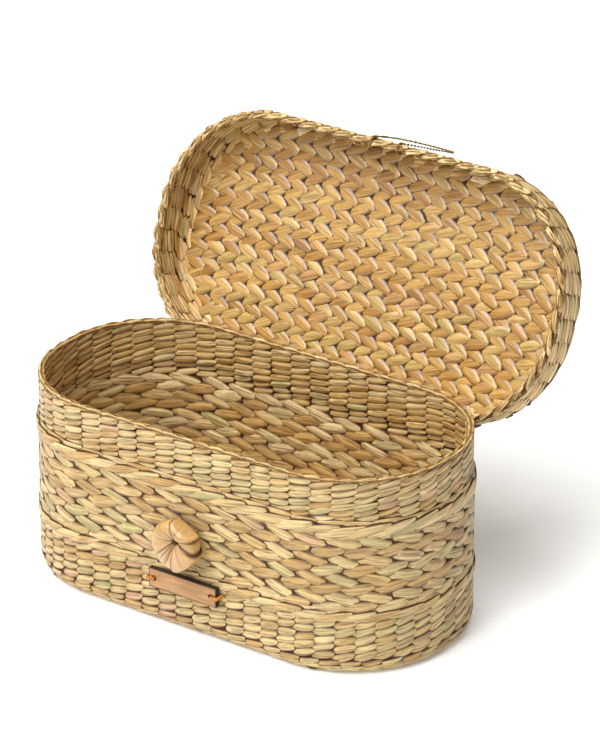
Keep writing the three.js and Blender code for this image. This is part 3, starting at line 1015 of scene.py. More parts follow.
def joint_place(name: str) -> Vector:
    """A joint's place at rest, in millimetres."""
    return next(Vector(j["pos_m"]) / MM for j in frame["joints"] if j["name"] == name)


BASKET_END_FLAT = 7.0
BASKET_PLAN = RoundedPlan(box_mm("middle_band")[1].x, box_mm("middle_band")[1].y, BASKET_END_FLAT)
HINGE = joint_place("lid_hinge")
LOOP_EYE_X = 9.0
LASHINGS = tuple(sum((box_mm(f"hinge_lashing_{i}")[k].x for k in (0, 1))) / 2 for i in range(1, 5))
# The mats fit their rows to their own depth, so only their stitches are given
BASE_STITCH = Stitch(18.5, 9.0, 1.4, 0.25, 0.52, 0.74)
LID_STITCH = Stitch(20.2, 9.7, 1.5, 0.2, 0.44, 0.74)
# Each other face: stitch, rows, stitches to a row, slants of even and odd rows, shift of odd rows
LOWER_OUTSIDE = Course(Stitch(16.6, 7.2, 1.5, 0.3, 0.46, 0.54), 5, 60, (11.0, 11.0))
LOWER_INSIDE = Course(Stitch(25.5, 7.4, 1.6, 0.25, 0.56, 0.7, shear=0.2), 6, 37, (8.5, -8.5), 0.47)
# The foot is tightly curved, so its strokes are narrow, and those at the floor have no painted shade on
# their edges
FOOT = Course(Stitch(16.2, 5.2, 1.4, 0.3, 0.36, 0.42), 2, 58, (8.0, 8.0))
FLOOR_EDGE = Course(Stitch(15.8, 4.3, 1.4, 0.3, 0.38, 0.44, shade=0.1), 2, 58, (8.0, 8.0))
FLOOR_CORNER = Course(Stitch(20.0, 5.0, 1.2, 0.3, 0.42, 0.5), 1, 44, (9.0, 9.0))
MIDDLE_OUTSIDE = Course(Stitch(25.8, 9.7, 1.6, 0.3, 0.56, 0.7), 8, 37, (6.0, -11.0), 0.47)
MIDDLE_INSIDE = Course(Stitch(25.5, 9.0, 1.6, 0.25, 0.56, 0.7, shear=0.2), 8, 37, (8.5, -8.5), 0.47)
UPPER_OUTSIDE = Course(Stitch(18.2, 5.8, 1.4, 0.3, 0.46, 0.54), 6, 54, (11.0, 11.0))
UPPER_INSIDE = Course(Stitch(18.0, 5.4, 1.4, 0.3, 0.42, 0.5), 6, 52, (10.0, 10.0))
LOWER_WALE = Course(Stitch(27.0, 5.6, 1.5, 0.4, 0.45, 0.55, shade=0.55), 1, 50, (8.5, 8.5))
UPPER_WALE = Course(Stitch(36.0, 6.6, 1.5, 0.4, 0.45, 0.55, shade=0.55), 1, 48, (10.0, 10.0))
WALE_FILLER = Course(Stitch(24.0, 5.2, 1.4, 0.3, 0.4, 0.5, shade=0.45), 2, 44, (3.0, 3.0))
WALE_INSIDE = Course(Stitch(17.0, 5.2, 1.4, 0.3, 0.4, 0.55), 1, 52, (10.0, 10.0))
BORDER = Course(Stitch(14.0, 3.8, 1.0, 0.45, shear=0.2), 2, 66, (7.0, 7.0), 0.45)
SKIRT = Course(Stitch(17.4, 4.8, 1.2, 0.3, 0.42, 0.5), 5, 55, (9.0, 9.0))
SKIRT_TURN = replace(SKIRT, rows=3, count=54)
SKIRT_RIM = Course(Stitch(17.4, 6.0, 1.2, 0.3, 0.42, 0.5), 1, 52, (9.0, 9.0))
LID_BORDER = Course(Stitch(14.0, 3.9, 0.9, 0.4), 3, 60, (16.0, 16.0))


@dataclass
class Basket:
    """The twined body: base mat, three bands, two wales and the folded border."""

    wall: float = 3.6
    core: float = 0.4
    core_corner: tuple[float, float] = (2.4, 2.2)
    foot_turn: float = 6.0
    foot_rise: float = 9.0
    foot_lift: float = 0.4
    foot_shares: tuple[float, ...] = (0.1, 0.33, 0.57, 0.81)
    inner_low: float = 6.4
    corner_place: tuple[float, float] = (5.0, 4.7)
    corner_lean: float = 45.0
    wale_proud: float = 0.9
    wale_inner_row: float = 4.4
    filler_inset: float = 0.2
    filler_margins: tuple[float, float] = (0.7, 0.2)
    neck_inset: float = 1.0
    mat_row: float = 5.4
    mat_pitch: float = 12.0
    mat_slants: tuple[float, float] = (-20.0, 20.0)
    mat_shift: float = 0.1
    mat_margin: float = 0.6
    mat_lift: float = 0.5
    border_margins: tuple[float, float] = (0.5, 0.3)
    border_drops: tuple[float, float, float] = (0.9, 1.75, 1.9)
    border_fold: float = 0.6
    border_lean: float = 55.0

    def build(self) -> None:
        """Builds every piece of the body, from the floor up."""
        self.base_mat()
        self.lower_band()
        self.wale("lower_wale", 21, LOWER_WALE)
        # Long stitches that make chevrons
        self.upright_band("middle_band", 13, 0.0, MIDDLE_OUTSIDE, MIDDLE_INSIDE)
        self.wale("upper_wale", 22, UPPER_WALE)
        # Small stitches in columns, on the neck that the lid slips over
        self.upright_band("upper_band", 14, self.neck_inset, UPPER_OUTSIDE, UPPER_INSIDE)
        self.border()

    def core_ring(self, weave: Weave, inset: float, low: float, high: float) -> None:
        """Adds the dark stakes of an upright wall, whose colour is painted shade in the gaps.

        Args:
            weave: The piece.
            inset: Where the wall's outer face lies inside the plan.
            low: The wall's lower edge.
            high: The wall's upper edge.
        """
        near = inset + (self.wall - self.core) / 2
        far = near + self.core
        ring_solid(weave.bm, BASKET_PLAN, [(near, low), (near, high), (far, high), (far, low)])
        weave.end_core()

    def base_mat(self) -> None:
        """Builds the woven floor of the box."""
        weave = Weave("base_mat", 11)
        low, high = box_mm("base_panel")
        inset = self.foot_turn + SEAT_GAP
        middle = (low.z + high.z) / 2
        half = self.core / 2
        plate_solid(weave.bm, BASKET_PLAN, inset + self.mat_margin, middle - half, middle + half)
        weave.end_core()
        mould = StitchMould(BASE_STITCH, 111)
        rows = int((high.y - low.y) / self.mat_row)
        for face, height, look in (
            (Face.OUTSIDE, high.z, Look.SECOND_REED),
            (Face.INSIDE, low.z + self.mat_lift, Look.FIRST_REED),
        ):
            weave.look = look
            for row in range(rows):
                odd = row % 2
                y = low.y + (row + 0.5) * (high.y - low.y) / rows
                weave.mat_row(mould, BASKET_PLAN, inset, y, height, self.mat_pitch, face,
                              self.mat_slants[odd], self.mat_shift * odd)
        weave.finish((WALL_REED, LIT_INNER_REED), Body.BASKET, Slot.WALL, ["base_panel"])

    def foot_place(self, run: float) -> tuple[float, float, float]:
        """Walks up the outside of the foot.

        Args:
            run: Share of the quarter turn walked.

        Returns:
            Inset, height and lean of the wall's face.
        """
        angle = math.radians(90 * run)
        inset = self.foot_turn * (1 - math.sin(angle))
        height = self.foot_rise * (1 - math.cos(angle))
        slope = math.atan2(-math.cos(angle) * self.foot_turn, math.sin(angle) * self.foot_rise)
        return inset, height, math.degrees(slope)

    def lower_band(self) -> None:
        """Builds the lower band: small packed stitches down to the rounded foot."""
        weave = Weave("lower_band_weave", 12)
        top = box_mm("lower_band")[1].z
        near = (self.wall - self.core) / 2
        far = near + self.core
        section = []
        for i in range(1, 6):
            inset, height, lean = self.foot_place(i / 5)
            angle = math.radians(lean)
            section.append((inset + near * math.cos(angle), height - near * math.sin(angle)))
        inward, upward = self.core_corner
        section += [(near, top), (far, top), (far, self.foot_rise),
                    (self.foot_turn + far - inward, upward)]
        ring_solid(weave.bm, BASKET_PLAN, section)
        weave.end_core()
        moulds = {FOOT: StitchMould(FOOT.stitch, 123), FLOOR_EDGE: StitchMould(FLOOR_EDGE.stitch, 124)}
        for share in self.foot_shares:
            inset, height, lean = self.foot_place(share)
            course = FLOOR_EDGE if share < 0.5 else FOOT
            weave.ring_row(moulds[course], BASKET_PLAN, inset, height + self.foot_lift, course.count,
                           slant=course.slants[0], lean=lean)
        weave.courses(LOWER_OUTSIDE, 121, BASKET_PLAN, 0.0, self.foot_rise, top, Face.OUTSIDE,
                      Look.FIRST_REED)
        weave.courses(LOWER_INSIDE, 122, BASKET_PLAN, self.wall, self.inner_low, top, Face.INSIDE,
                      Look.SECOND_REED)
        # One more row closes the corner between the wall and the floor
        weave.look = Look.SECOND_REED
        weave.ring_row(StitchMould(FLOOR_CORNER.stitch, 125), BASKET_PLAN, *self.corner_place,
                       FLOOR_CORNER.count, Face.INSIDE, FLOOR_CORNER.slants[0], self.corner_lean)
        weave.finish((WALL_REED, LIT_INNER_REED), Body.BASKET, Slot.WALL, ["lower_band"])

    def upright_band(self, node: str, seed: int, inset: float, outside: Course, inside: Course) -> None:
        """Builds a band of the upright wall.

        Args:
            node: The band's CAD node.
            seed: Seed of its tints.
            inset: Where the wall's outer face lies inside the plan.
            outside: The rows that show outside.
            inside: The rows that show inside the box.
        """
        weave = Weave(f"{node}_weave", seed)
        low, high = box_mm(node)
        self.core_ring(weave, inset, low.z, high.z)
        weave.courses(outside, seed * 10 + 1, BASKET_PLAN, inset, low.z, high.z, Face.OUTSIDE,
                      Look.FIRST_REED)
        weave.courses(inside, seed * 10 + 2, BASKET_PLAN, inset + self.wall, low.z, high.z, Face.INSIDE,
                      Look.SECOND_REED)
        weave.finish((WALL_REED, LIT_INNER_REED), Body.BASKET, Slot.WALL, [node])

    def wale(self, node: str, seed: int, rope: Course) -> None:
        """Builds a wale: a proud rope of long slanting strands, with plain strands above and below.

        Args:
            node: The wale's CAD node.
            seed: Seed of its tints.
            rope: Its strands.
        """
        weave = Weave(f"{node}_rope", seed)
        low, high = box_mm(node)
        self.core_ring(weave, 0.0, low.z, high.z)
        filler = StitchMould(WALE_FILLER.stitch, seed * 10 + 2)
        under, over = self.filler_margins
        for height in (low.z + under, high.z - over):
            weave.ring_row(filler, BASKET_PLAN, self.filler_inset, height, WALE_FILLER.count,
                           slant=WALE_FILLER.slants[0])
        weave.ring_row(StitchMould(rope.stitch, seed * 10), BASKET_PLAN, -self.wale_proud,
                       (low.z + high.z) / 2, rope.count, slant=rope.slants[0])
        inside = replace(WALE_INSIDE, rows=max(round((high.z - low.z) / self.wale_inner_row), 1))
        weave.courses(inside, seed * 10 + 1, BASKET_PLAN, self.wall, low.z, high.z, Face.INSIDE,
                      Look.SECOND_REED)
        weave.finish((WALL_REED, LIT_INNER_REED), Body.BASKET, Slot.WALL, [node])

    def border(self) -> None:
        """Builds the folded border at the top edge: an upright and a folded row on each face."""
        weave = Weave("body_border", 15)
        low, high = box_mm("body_rim")
        upright_drop, fold_drop, core_drop = self.border_drops
        self.core_ring(weave, self.neck_inset, low.z, high.z - core_drop)
        mould = StitchMould(BORDER.stitch, 151)
        middle = (low.z + high.z) / 2
        half = self.wall / 2
        outer, inner = self.border_margins
        for face in Face:
            edge = self.neck_inset + (outer if face is Face.OUTSIDE else self.wall - inner)
            weave.ring_row(mould, BASKET_PLAN, edge, middle - upright_drop, BORDER.count, face,
                           BORDER.slants[0])
            fold = edge + face.value * half * self.border_fold
            weave.ring_row(mould, BASKET_PLAN, fold, high.z - fold_drop, BORDER.count, face,
                           BORDER.slants[1], self.border_lean, BORDER.shift)
        weave.finish((BORDER_REED,), Body.BASKET, Slot.WALL, ["body_rim"])


@dataclass
class Lid:
    """The slip-over lid, built shut about its hinge and then opened to its rest place."""

    wall: float = 3.0
    core: float = 0.4
    turn: float = 6.0
    mat_thickness: float = 3.2
    top: float = 25.1
    skirt_low: float = 2.3
    roll_radius: float = 2.0
    mat_row: float = 5.4
    mat_pitch: float = 11.4
    mat_slants: tuple[float, float] = (-21.0, 23.0)
    mat_shift: float = 0.1
    mat_core: float = 0.2
    mat_core_reach: float = 2.2
    mat_reach: float = 2.0
    mat_sink: float = 0.05
    rows_past: int = 2
    bow: float = 5.5e-6
    bow_fade: float = 0.7
    end_flat: float = 11.5
    core_low: float = 5.2
    core_turn: float = 4.95
    core_inside: tuple[tuple[float, float], ...] = ((4.05, 4.05), (1.2, 2.9), (0.0, 0.0))
    notch_depth: float = 6.0
    strap_notch: float = 8.0
    eye_notch: float = 5.0
    outer_leans: tuple[float, ...] = (22.0, 52.0, 82.0)
    inner_leans: tuple[float, ...] = (15.0, 45.0, 75.0)
    inner_turn: tuple[float, float] = (3.0, 3.2)
    rim_inset: float = 5.0
    rim_lift: float = 0.15
    rim_lean: float = 88.0
    roll_cover: float = 0.9
    roll_sink: float = 0.3
    roll_lean: float = 60.0
    tie_radius: float = 0.8
    tie_cord: float = 0.78
    tie_wraps: tuple[int, ...] = (3, 17, 31)

    def __post_init__(self) -> None:
        """Works out the lid's plan and its open place from the frame."""
        low, high = box_mm("lid_rim")
        reach = (joint_place("loop_swing") - HINGE).length
        half_length = (high.x - low.x) / 2 - self.roll_radius
        self.plan = RoundedPlan(half_length, reach / 2, self.end_flat, -reach / 2)
        hinge = next(j for j in frame["joints"] if j["name"] == "lid_hinge")
        opened = Matrix.Rotation(-math.radians(hinge["range_deg"][1]), 4, "X")
        self.place = Matrix.Translation(HINGE) @ opened
        self.reach = reach

    def build(self) -> None:
        """Builds every piece of the lid."""
        self.mat()
        self.skirt()
        self.roll()
        self.tie()

    def mat(self) -> None:
        """Builds the lid's mat: plump glossy chevrons inside, the same weave outside."""
        weave = Weave("lid_mat", 31)
        inset = self.turn - self.wall / 2 + SEAT_GAP
        under = self.top - self.mat_thickness
        middle = (self.top + under) / 2
        half = self.mat_core / 2
        plate_solid(weave.bm, self.plan, inset - self.mat_core_reach, middle - half, middle + half)
        weave.end_core()
        mould = StitchMould(LID_STITCH, 311)
        depth = self.reach - 2 * inset
        rows = round(depth / self.mat_row)
        for face, height, look in (
            (Face.INSIDE, under + self.mat_sink, Look.FIRST_REED),
            (Face.OUTSIDE, self.top, Look.SECOND_REED),
        ):
            weave.look = look
            # Hand-laid rows droop at their ends, most by the front border, so some start past it
            for row in range(-self.rows_past, rows):
                odd = row % 2
                y = -self.reach + inset + (row + 0.5) * depth / rows
                bow = self.bow * (1 - self.bow_fade * row / rows)
                weave.mat_row(mould, self.plan, inset - self.mat_reach, y, height, self.mat_pitch, face,
                              self.mat_slants[odd], self.mat_shift * odd, bow)
        weave.finish((LID_REED, WALL_REED), Body.LID, Slot.LID, ["lid_panel"], self.place)

    def skirt(self) -> None:
        """Builds the lid's wall, turned in at the top, with its notches left free."""
        weave = Weave("lid_skirt_weave", 32)
        half = self.wall / 2
        near, far = -self.core / 2, self.core / 2
        crown = self.top - self.turn
        section = [(near, self.core_low)]
        for i in range(4):
            angle = math.radians(30 * i)
            section.append((near + self.core_turn * (1 - math.cos(angle)),
                            crown + self.core_turn * math.sin(angle)))
        section += [(far + inward, crown + upward) for inward, upward in self.core_inside]
        ring_solid(weave.bm, self.plan, [*section, (far, self.core_low)])
        weave.end_core()
        mould = StitchMould(SKIRT.stitch, 321)
        slant = SKIRT.slants[0]
        loop_low, loop_high = box_mm("closure_loop")
        loop_middle = (loop_low.x + loop_high.x) / 2

        def notched(point: Vector) -> bool:
            """Says whether a stitch of the lowest row would lie in a lashing's or a loop eye's notch.

            Args:
                point: Where the stitch would lie.

            Returns:
                True where the place stays free.
            """
            rear = point.y > -self.notch_depth
            strap = any(abs(point.x - x) < self.strap_notch for x in LASHINGS)
            front = point.y < -self.reach + self.notch_depth
            eye = abs(abs(point.x - loop_middle) - LOOP_EYE_X) < self.eye_notch
            return (rear and strap) or (front and eye)

        for row in range(SKIRT.rows):
            height = self.skirt_low + (row + 0.5) * (crown - self.skirt_low) / SKIRT.rows
            skip = None if row else notched
            weave.look = Look.SECOND_REED
            weave.ring_row(mould, self.plan, -half, height, SKIRT.count, slant=slant, skip=skip)
            weave.look = Look.FIRST_REED
            weave.ring_row(mould, self.plan, half, height, SKIRT.count, Face.INSIDE, slant, skip=skip)
        weave.look = Look.SECOND_REED
        for lean in self.outer_leans:
            angle = math.radians(lean)
            inset = -half + self.turn * (1 - math.cos(angle))
            height = crown + self.turn * math.sin(angle)
            weave.ring_row(mould, self.plan, inset, height, SKIRT_TURN.count, slant=slant, lean=lean)
        weave.look = Look.FIRST_REED
        inward, upward = self.inner_turn
        for lean in self.inner_leans:
            angle = math.radians(lean)
            inset = half + inward * (1 - math.cos(angle))
            height = crown + upward * math.sin(angle)
            weave.ring_row(mould, self.plan, inset, height, SKIRT_TURN.count, Face.INSIDE, slant, -lean)
        height = self.top - self.mat_thickness + self.rim_lift
        weave.ring_row(StitchMould(SKIRT_RIM.stitch, 322), self.plan, half + self.rim_inset, height,
                       SKIRT_RIM.count, Face.INSIDE, SKIRT_RIM.slants[0], -self.rim_lean)
        # Both faces of the lid's wall take the lighter copy of the reed, painted light
        weave.finish((LIT_SKIRT_REED, LIT_SKIRT_REED), Body.LID, Slot.LID, ["lid_skirt"], self.place)

    def roll(self) -> None:
        """Builds the lid's border: short strands rolled to a rough rope that turns in the lacings."""
        weave = Weave("lid_border", 33)
        heart = self.roll_radius - self.roll_cover
        angles = [math.pi * i / 4 for i in range(8)]
        section = [(-heart * math.cos(angle), heart * math.sin(angle)) for angle in angles]
        ring_solid(weave.bm, self.plan, section)
        weave.end_core()
        mould = StitchMould(LID_BORDER.stitch, 331)
        for face in Face:
            for side in (-1, 0, 1):
                lean = side * self.roll_lean
                angle = math.radians(lean)
                inset = -face.value * (self.roll_radius - self.roll_sink) * math.cos(angle)
                height = self.roll_radius * math.sin(angle)
                weave.ring_row(mould, self.plan, inset, height, LID_BORDER.count, face,
                               LID_BORDER.slants[0], lean, (side + face.value) / 6)
        weave.finish((BORDER_REED,), Body.LID, Slot.LID, ["lid_rim"], self.place)

    def tie(self) -> None:
        """Builds the loop's tied-off end along the inside of the border, with its wraps."""
        strands = Strands("loop_tie_cord", 34)
        low, high = box_mm("loop_tie")
        y = -self.reach + self.roll_radius + SEAT_GAP + self.tie_radius
        line = []
        for i in range(41):
            x = low.x + 0.3 + (high.x - low.x - 0.6) * i / 40
            line.append(Vector((x, y + 0.1 * math.sin(i * 0.5), 0.0)))
        strands.rope(line, self.tie_cord, 2, 5.0)
        for start in self.tie_wraps:
            wrap = []
            for k in range(21):
                angle = k * math.pi / 4
                turned = Vector((0.1 * k, 0.75 * math.sin(angle), 0.75 * math.cos(angle)))
                wrap.append(line[start] + turned)
            strands.sweep(path_frames(wrap, False, ACROSS), 0.3, 0.2, sides=6)
        strands.finish(CORD_GRASS, Body.LID, Slot.CORD, ["loop_tie"], self.place)


@dataclass(frozen=True)
class Fold:
    """One fold of the toggle knot, seen from the front: its span in degrees and its shape."""

    start: float
    end: float
    reach: float
    straight: float
    lift: float
    pleat: float


@dataclass
class Fastening:
    """What ties the box: hinge lacings, toggle knot with its shank, and the closure loop."""

    lacing_inner: float = 2.3
    lacing_thickness: float = 1.2
    lacing_width: float = 7.0
    lacing_strands: int = 3
    lacing_sink: float = 1.5
    lacing_corner: tuple[float, float] = (0.5, 0.6)
    knot_radius: float = 15.0
    knot_depth: float = 6.4
    pinch: tuple[float, float] = (3.0, 4.8)
    strip_start: float = 156.0
    strip_turn: float = 246.0
    pleats: float = 9.0
    folds: tuple[Fold, ...] = (
        Fold(-10.0, 29.0, 0.94, 0.2, -1.2, 0.2), Fold(29.0, 92.0, 0.86, 0.9, 0.3, 0.25),
        Fold(92.0, 219.0, 0.97, 0.0, 0.0, 0.5), Fold(219.0, 273.0, 0.98, 0.1, -0.4, 0.8),
        Fold(273.0, 350.0, 0.96, 0.6, 0.7, 0.25),
    )
    shank_radius: float = 2.5
    coil_turns: float = 2.4
    coil_radius: float = 4.9
    coil_cord: float = 1.1
    cord_radius: float = 0.8
    cord_lay: float = 5.5
    eye_radius: float = 3.1

    def build(self, lid: Lid) -> None:
        """Builds every fastening.

        Args:
            lid: The lid that the loop hangs on.
        """
        self.loop(lid)
        for number in range(1, len(LASHINGS) + 1):
            self.lacing(number)
        self.knot()
        self.shank()

    def lacing(self, number: int) -> None:
        """Builds one hinge lacing of flat reed, round the lid's border and through the rear wall.

        Args:
            number: Which lacing, from one.
        """
        node = f"hinge_lashing_{number}"
        low = box_mm(node)[0]
        strands = Strands(f"hinge_lacing_{number}", 40 + number)
        radius = self.lacing_inner + self.lacing_thickness / 2
        # The bridge inside the wall lies under the inner strokes of the weave
        end_y = low.y + self.lacing_sink
        inward, upward = self.lacing_corner
        middle_y = (end_y + HINGE.y) / 2
        under, over = HINGE.z - radius, HINGE.z + radius
        outline = [(end_y + inward, under), (middle_y, under)]
        for i in range(13):
            angle = math.pi * i / 12
            outline.append((HINGE.y + radius * math.sin(angle), HINGE.z - radius * math.cos(angle)))
        outline += [(middle_y, over), (end_y + inward, over), (end_y, over - upward), (end_y, HINGE.z),
                    (end_y, under + upward)]
        step = self.lacing_width / self.lacing_strands
        for strand in range(self.lacing_strands):
            x = low.x + (strand + 0.5) * step
            line = [Vector((x, y, z)) for y, z in outline]
            strands.sweep(path_frames(line, True, ACROSS), step * 0.49, self.lacing_thickness * 0.48,
                          closed=True, sides=10)
        strands.finish(LIT_INNER_REED, Body.BASKET, Slot.CORD, [node])

    def knot(self) -> None:
        """Builds the toggle: five unequal folds of wide reed round a pinched middle."""
        low, high = box_mm("toggle_knot")
        shank_low, shank_high = box_mm("toggle_shank")
        centre = (shank_low + shank_high) / 2
        centre.y = (low.y + high.y) / 2
        rng = random.Random(51)
        bm = bmesh.new()
        layers = (bm.verts.layers.float.new("tone"), bm.verts.layers.float.new("crest"),
                  bm.verts.layers.float_vector.new("fibre"))
        for fold in self.folds:
            self.fold(bm, fold, rng, layers)
        mesh = bpy.data.meshes.new("toggle_knot_folds")
        bm.to_mesh(mesh)
        bm.free()
        mesh.polygons.foreach_set("use_smooth", np.ones(len(mesh.polygons), bool))
        facing = Matrix(((1, 0, 0), (0, 0, -1), (0, 1, 0))).to_4x4()
        add_piece("toggle_knot_folds", mesh, [WIDE_REED.material()], Body.BASKET, Slot.WIDE,
                  ["toggle_knot"], Matrix.Translation(centre) @ facing)

    def fold(self, bm: bmesh.types.BMesh, fold: Fold, rng: random.Random, layers: tuple) -> None:
        """Adds one fold of the knot, facing +Z: out from the pinch, round the edge and part way back.

        Args:
            bm: The knot's mesh.
            fold: Its span and shape.
            rng: Source of its small differences.
            layers: The tone, crest and fibre layers.
        """
        tone, crest, fibre = layers
        middle = math.radians((fold.start + fold.end) / 2)
        half = math.radians((fold.end - fold.start) / 2 + 5.0)
        tint = rng.random()
        wave = rng.uniform(0, math.pi)
        grid = bmesh.ops.create_grid(bm, x_segments=18, y_segments=18, size=1.0)["verts"]
        for vert in grid:
            u, v = vert.co.x, (vert.co.y + 1) / 2
            # Along v the strip runs from the pinch in front, over the edge and half way back behind
            turn = math.radians(self.strip_start - self.strip_turn * v)
            cosine, sine = math.cos(turn), math.sin(turn)
            angle = middle + u * half
            edge = min(1 / math.cos(u * half), 1.18)
            outline = self.knot_radius * fold.reach
            outline *= 1 + fold.straight * (edge - 1) - 0.08 * (1 - fold.straight) * u * u
            out = outline * (0.52 + 0.48 * math.copysign(abs(cosine) ** 0.75, cosine))
            high = self.knot_depth * math.copysign(abs(sine) ** 0.8, sine)
            inner = 1 - out / outline
            if sine > 0:
                high += sine * (fold.lift - 1.3 * u ** 4)
                high += fold.pleat * math.cos(self.pleats * u + wave) * sine * inner ** 0.6
            vert.co = Vector((out * math.cos(angle) + self.pinch[0] * inner,
                              out * math.sin(angle) + self.pinch[1] * inner, high))
            vert[tone] = tint
            # Painted shade: darker near the pinch, at the fold's side edges and in the pleats' valleys
            valley = fold.pleat * max(-math.cos(self.pleats * u + wave), 0.0) * inner ** 0.8
            open_share = min(max((out - 0.2) / 2.6, 0.0), 1.0)
            vert[crest] = open_share * (1 - 0.8 * abs(u) ** 8) * (1 - min(valley, 0.9))
            vert[fibre] = Vector((v * 34.0 + 3 * fold.start, u * half * 9.0 + fold.start, 0.0))
        faces = list({face for vert in grid for face in vert.link_faces})
        bmesh.ops.recalc_face_normals(bm, faces=faces)
        bmesh.ops.solidify(bm, geom=faces, thickness=0.6)

    def shank(self) -> None:
        """Builds the cord shank through the front wall and its coiled stopper inside."""
        low, high = box_mm("toggle_shank")
        strands = Strands("toggle_shank_cord", 52)
        x, z = (low.x + high.x) / 2, (low.z + high.z) / 2
        line = [Vector((x, low.y + (high.y - 1.0 - low.y) * i / 24, z)) for i in range(25)]
        strands.rope(line, self.shank_radius, 3, 14.0)
        coil = []
        for i in range(61):
            angle = 2 * math.pi * self.coil_turns * i / 60
            radius = self.coil_radius - 3.3 * (i / 60) ** 1.2
            y = high.y - 1.3 - 0.9 * (1 - i / 60)
            coil.append(Vector((x + radius * math.cos(angle), y, z + radius * math.sin(angle))))
        strands.rope(coil, self.coil_cord, 2, 7.0, first_up=BACK)
        strands.finish(CORD_GRASS, Body.BASKET, Slot.CORD, ["toggle_shank"])

    def loop(self, lid: Lid) -> None:
        """Builds the closure loop: a bight of twisted cord, each leg with an eye round the lid's border.

        Args:
            lid: The lid that it hangs on.
        """
        low, high = box_mm("closure_loop")
        half = (high.x - low.x) / 2 - self.cord_radius
        shank_low, shank_high = box_mm("toggle_shank")
        leg = HINGE.z - (shank_low.z + shank_high.z) / 2
        place = lid.place @ Matrix.Translation(((low.x + high.x) / 2, -lid.reach, 0.0))
        left = []
        for i in range(16):
            flare = math.sin(math.pi * i / 32)
            left.append((LOOP_EYE_X + (half - LOOP_EYE_X) * flare, leg * i / 16))
        for i in range(18):
            angle = math.pi * i / 36
            left.append((half * math.cos(angle), leg + half * math.sin(angle)))
        line = [Vector((-x, -self.eye_radius, z)) for x, z in left]
        line += [Vector((0.0, -self.eye_radius, leg + half))]
        line += [Vector((x, -self.eye_radius, z)) for x, z in reversed(left)]
        bight = Strands("closure_loop_cord", 53)
        bight.rope(line, self.cord_radius, 2, self.cord_lay, first_up=BACK)
        cord = bight.finish(CORD_GRASS, Body.LOOP, Slot.CORD, ["closure_loop"], place)
        eyes = Strands("closure_loop_eyes", 54)
        for side in (-1, 1):
            eye = []
            for i in range(40):
                angle = 2 * math.pi * i / 40
                eye.append(Vector((side * LOOP_EYE_X, self.eye_radius * math.cos(angle),
                                   self.eye_radius * math.sin(angle))))
            eyes.rope(eye, self.cord_radius, 2, self.cord_lay, closed=True, first_up=ACROSS)
        rings = eyes.finish(CORD_GRASS, Body.LOOP, Slot.CORD, [], place)
        route = [place @ point * MM for point in line]
        length = sum((b - a).length for a, b in zip(route, route[1:]))
        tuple(route[0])


@dataclass(frozen=True)
class WoodFinish:
    """Thin sawn fruitwood, pinkish tan with fine grain, its edges burnt near black by the cut."""

    name: str = "sawn_wood_burnt_edges"
    pale: str = "BA8F62"
    dark: str = "A2794F"
    burnt: str = "22130A"
    grain: float = 1.1
    blotch: float = 8.0
    char: float = 1.1

    def material(self, low: Vector, high: Vector) -> bpy.types.Material:
        """Builds the node tree.

        Args:
            low: The tag's lowest corner, in metres.
            high: The tag's highest corner, in metres.

        Returns:
            The new material.
        """
        material, tree = new_material(self.name)
        place = add_node(tree, "ShaderNodeTexCoord").outputs["Object"]
        stretch = (1 / (9 * self.grain * MM), 1 / (self.grain * MM), 1 / (self.grain * MM))
        turned = add_node(tree, "ShaderNodeMapping", {"Vector": place, "Scale": stretch})
        grain = add_node(tree, "ShaderNodeTexNoise", {
            "Vector": turned.outputs["Vector"], "Scale": 1.0, "Detail": 4.0,
        }).outputs["Fac"]
        blotch = add_node(tree, "ShaderNodeTexNoise", {
            "Vector": place, "Scale": 1 / (self.blotch * MM),
        }).outputs["Fac"]
        wood = add_node(tree, "ShaderNodeValToRGB", (grain,), ((0.3, self.dark), (0.62, self.pale)))
        shade = add_node(tree, "ShaderNodeMapRange", (blotch, 0.3, 0.7, 0.82, 1.06))
        mix = {0: 1.0, 6: wood.outputs["Color"], 7: shade.outputs["Result"]}
        toned = add_node(tree, "ShaderNodeMix", mix, data_type="RGBA", blend_type="MULTIPLY")
        part = add_node(tree, "ShaderNodeSeparateXYZ", {"Vector": place})
        normal = add_node(tree, "ShaderNodeNewGeometry").outputs["Normal"]
        lie = add_node(tree, "ShaderNodeSeparateXYZ", {"Vector": normal}).outputs["Y"]
        flat = add_node(tree, "ShaderNodeMath", (lie,), operation="ABSOLUTE")
        # The cut edges are burnt all over, and the faces along their margins
        cut = add_node(tree, "ShaderNodeMapRange", (flat.outputs["Value"], 0.5, 0.9, 1.0, 0.0))
        burn = cut.outputs["Result"]
        for axis, start, end in (("X", low.x, high.x), ("Z", low.z, high.z)):
            middle, half = (start + end) / 2, (end - start) / 2
            off = add_node(tree, "ShaderNodeMath", (part.outputs[axis], middle), operation="SUBTRACT")
            size = add_node(tree, "ShaderNodeMath", (off.outputs["Value"],), operation="ABSOLUTE")
            margin = add_node(tree, "ShaderNodeMapRange", (
                size.outputs["Value"], half - self.char * MM, half - 0.1 * MM, 0.0, 1.0,
            ))
            most = add_node(tree, "ShaderNodeMath", (burn, margin.outputs["Result"]), operation="MAXIMUM")
            burn = most.outputs["Value"]
        mix = {0: burn, 6: toned.outputs[2], 7: linear(self.burnt)}
        charred = add_node(tree, "ShaderNodeMix", mix, data_type="RGBA")
        rough = add_node(tree, "ShaderNodeMapRange", (grain, 0.3, 0.7, 0.62, 0.48))
        bump = add_node(tree, "ShaderNodeBump", {"Height": grain, "Strength": 0.25, "Distance": 0.2 * MM})
        shader = add_node(tree, "ShaderNodeBsdfPrincipled", {
            "Base Color": charred.outputs[2], "Roughness": rough.outputs["Result"],
            "Normal": bump.outputs["Normal"], "Specular IOR Level": 0.35,
        })
        add_node(tree, "ShaderNodeOutputMaterial", {"Surface": shader.outputs["BSDF"]})
        return material


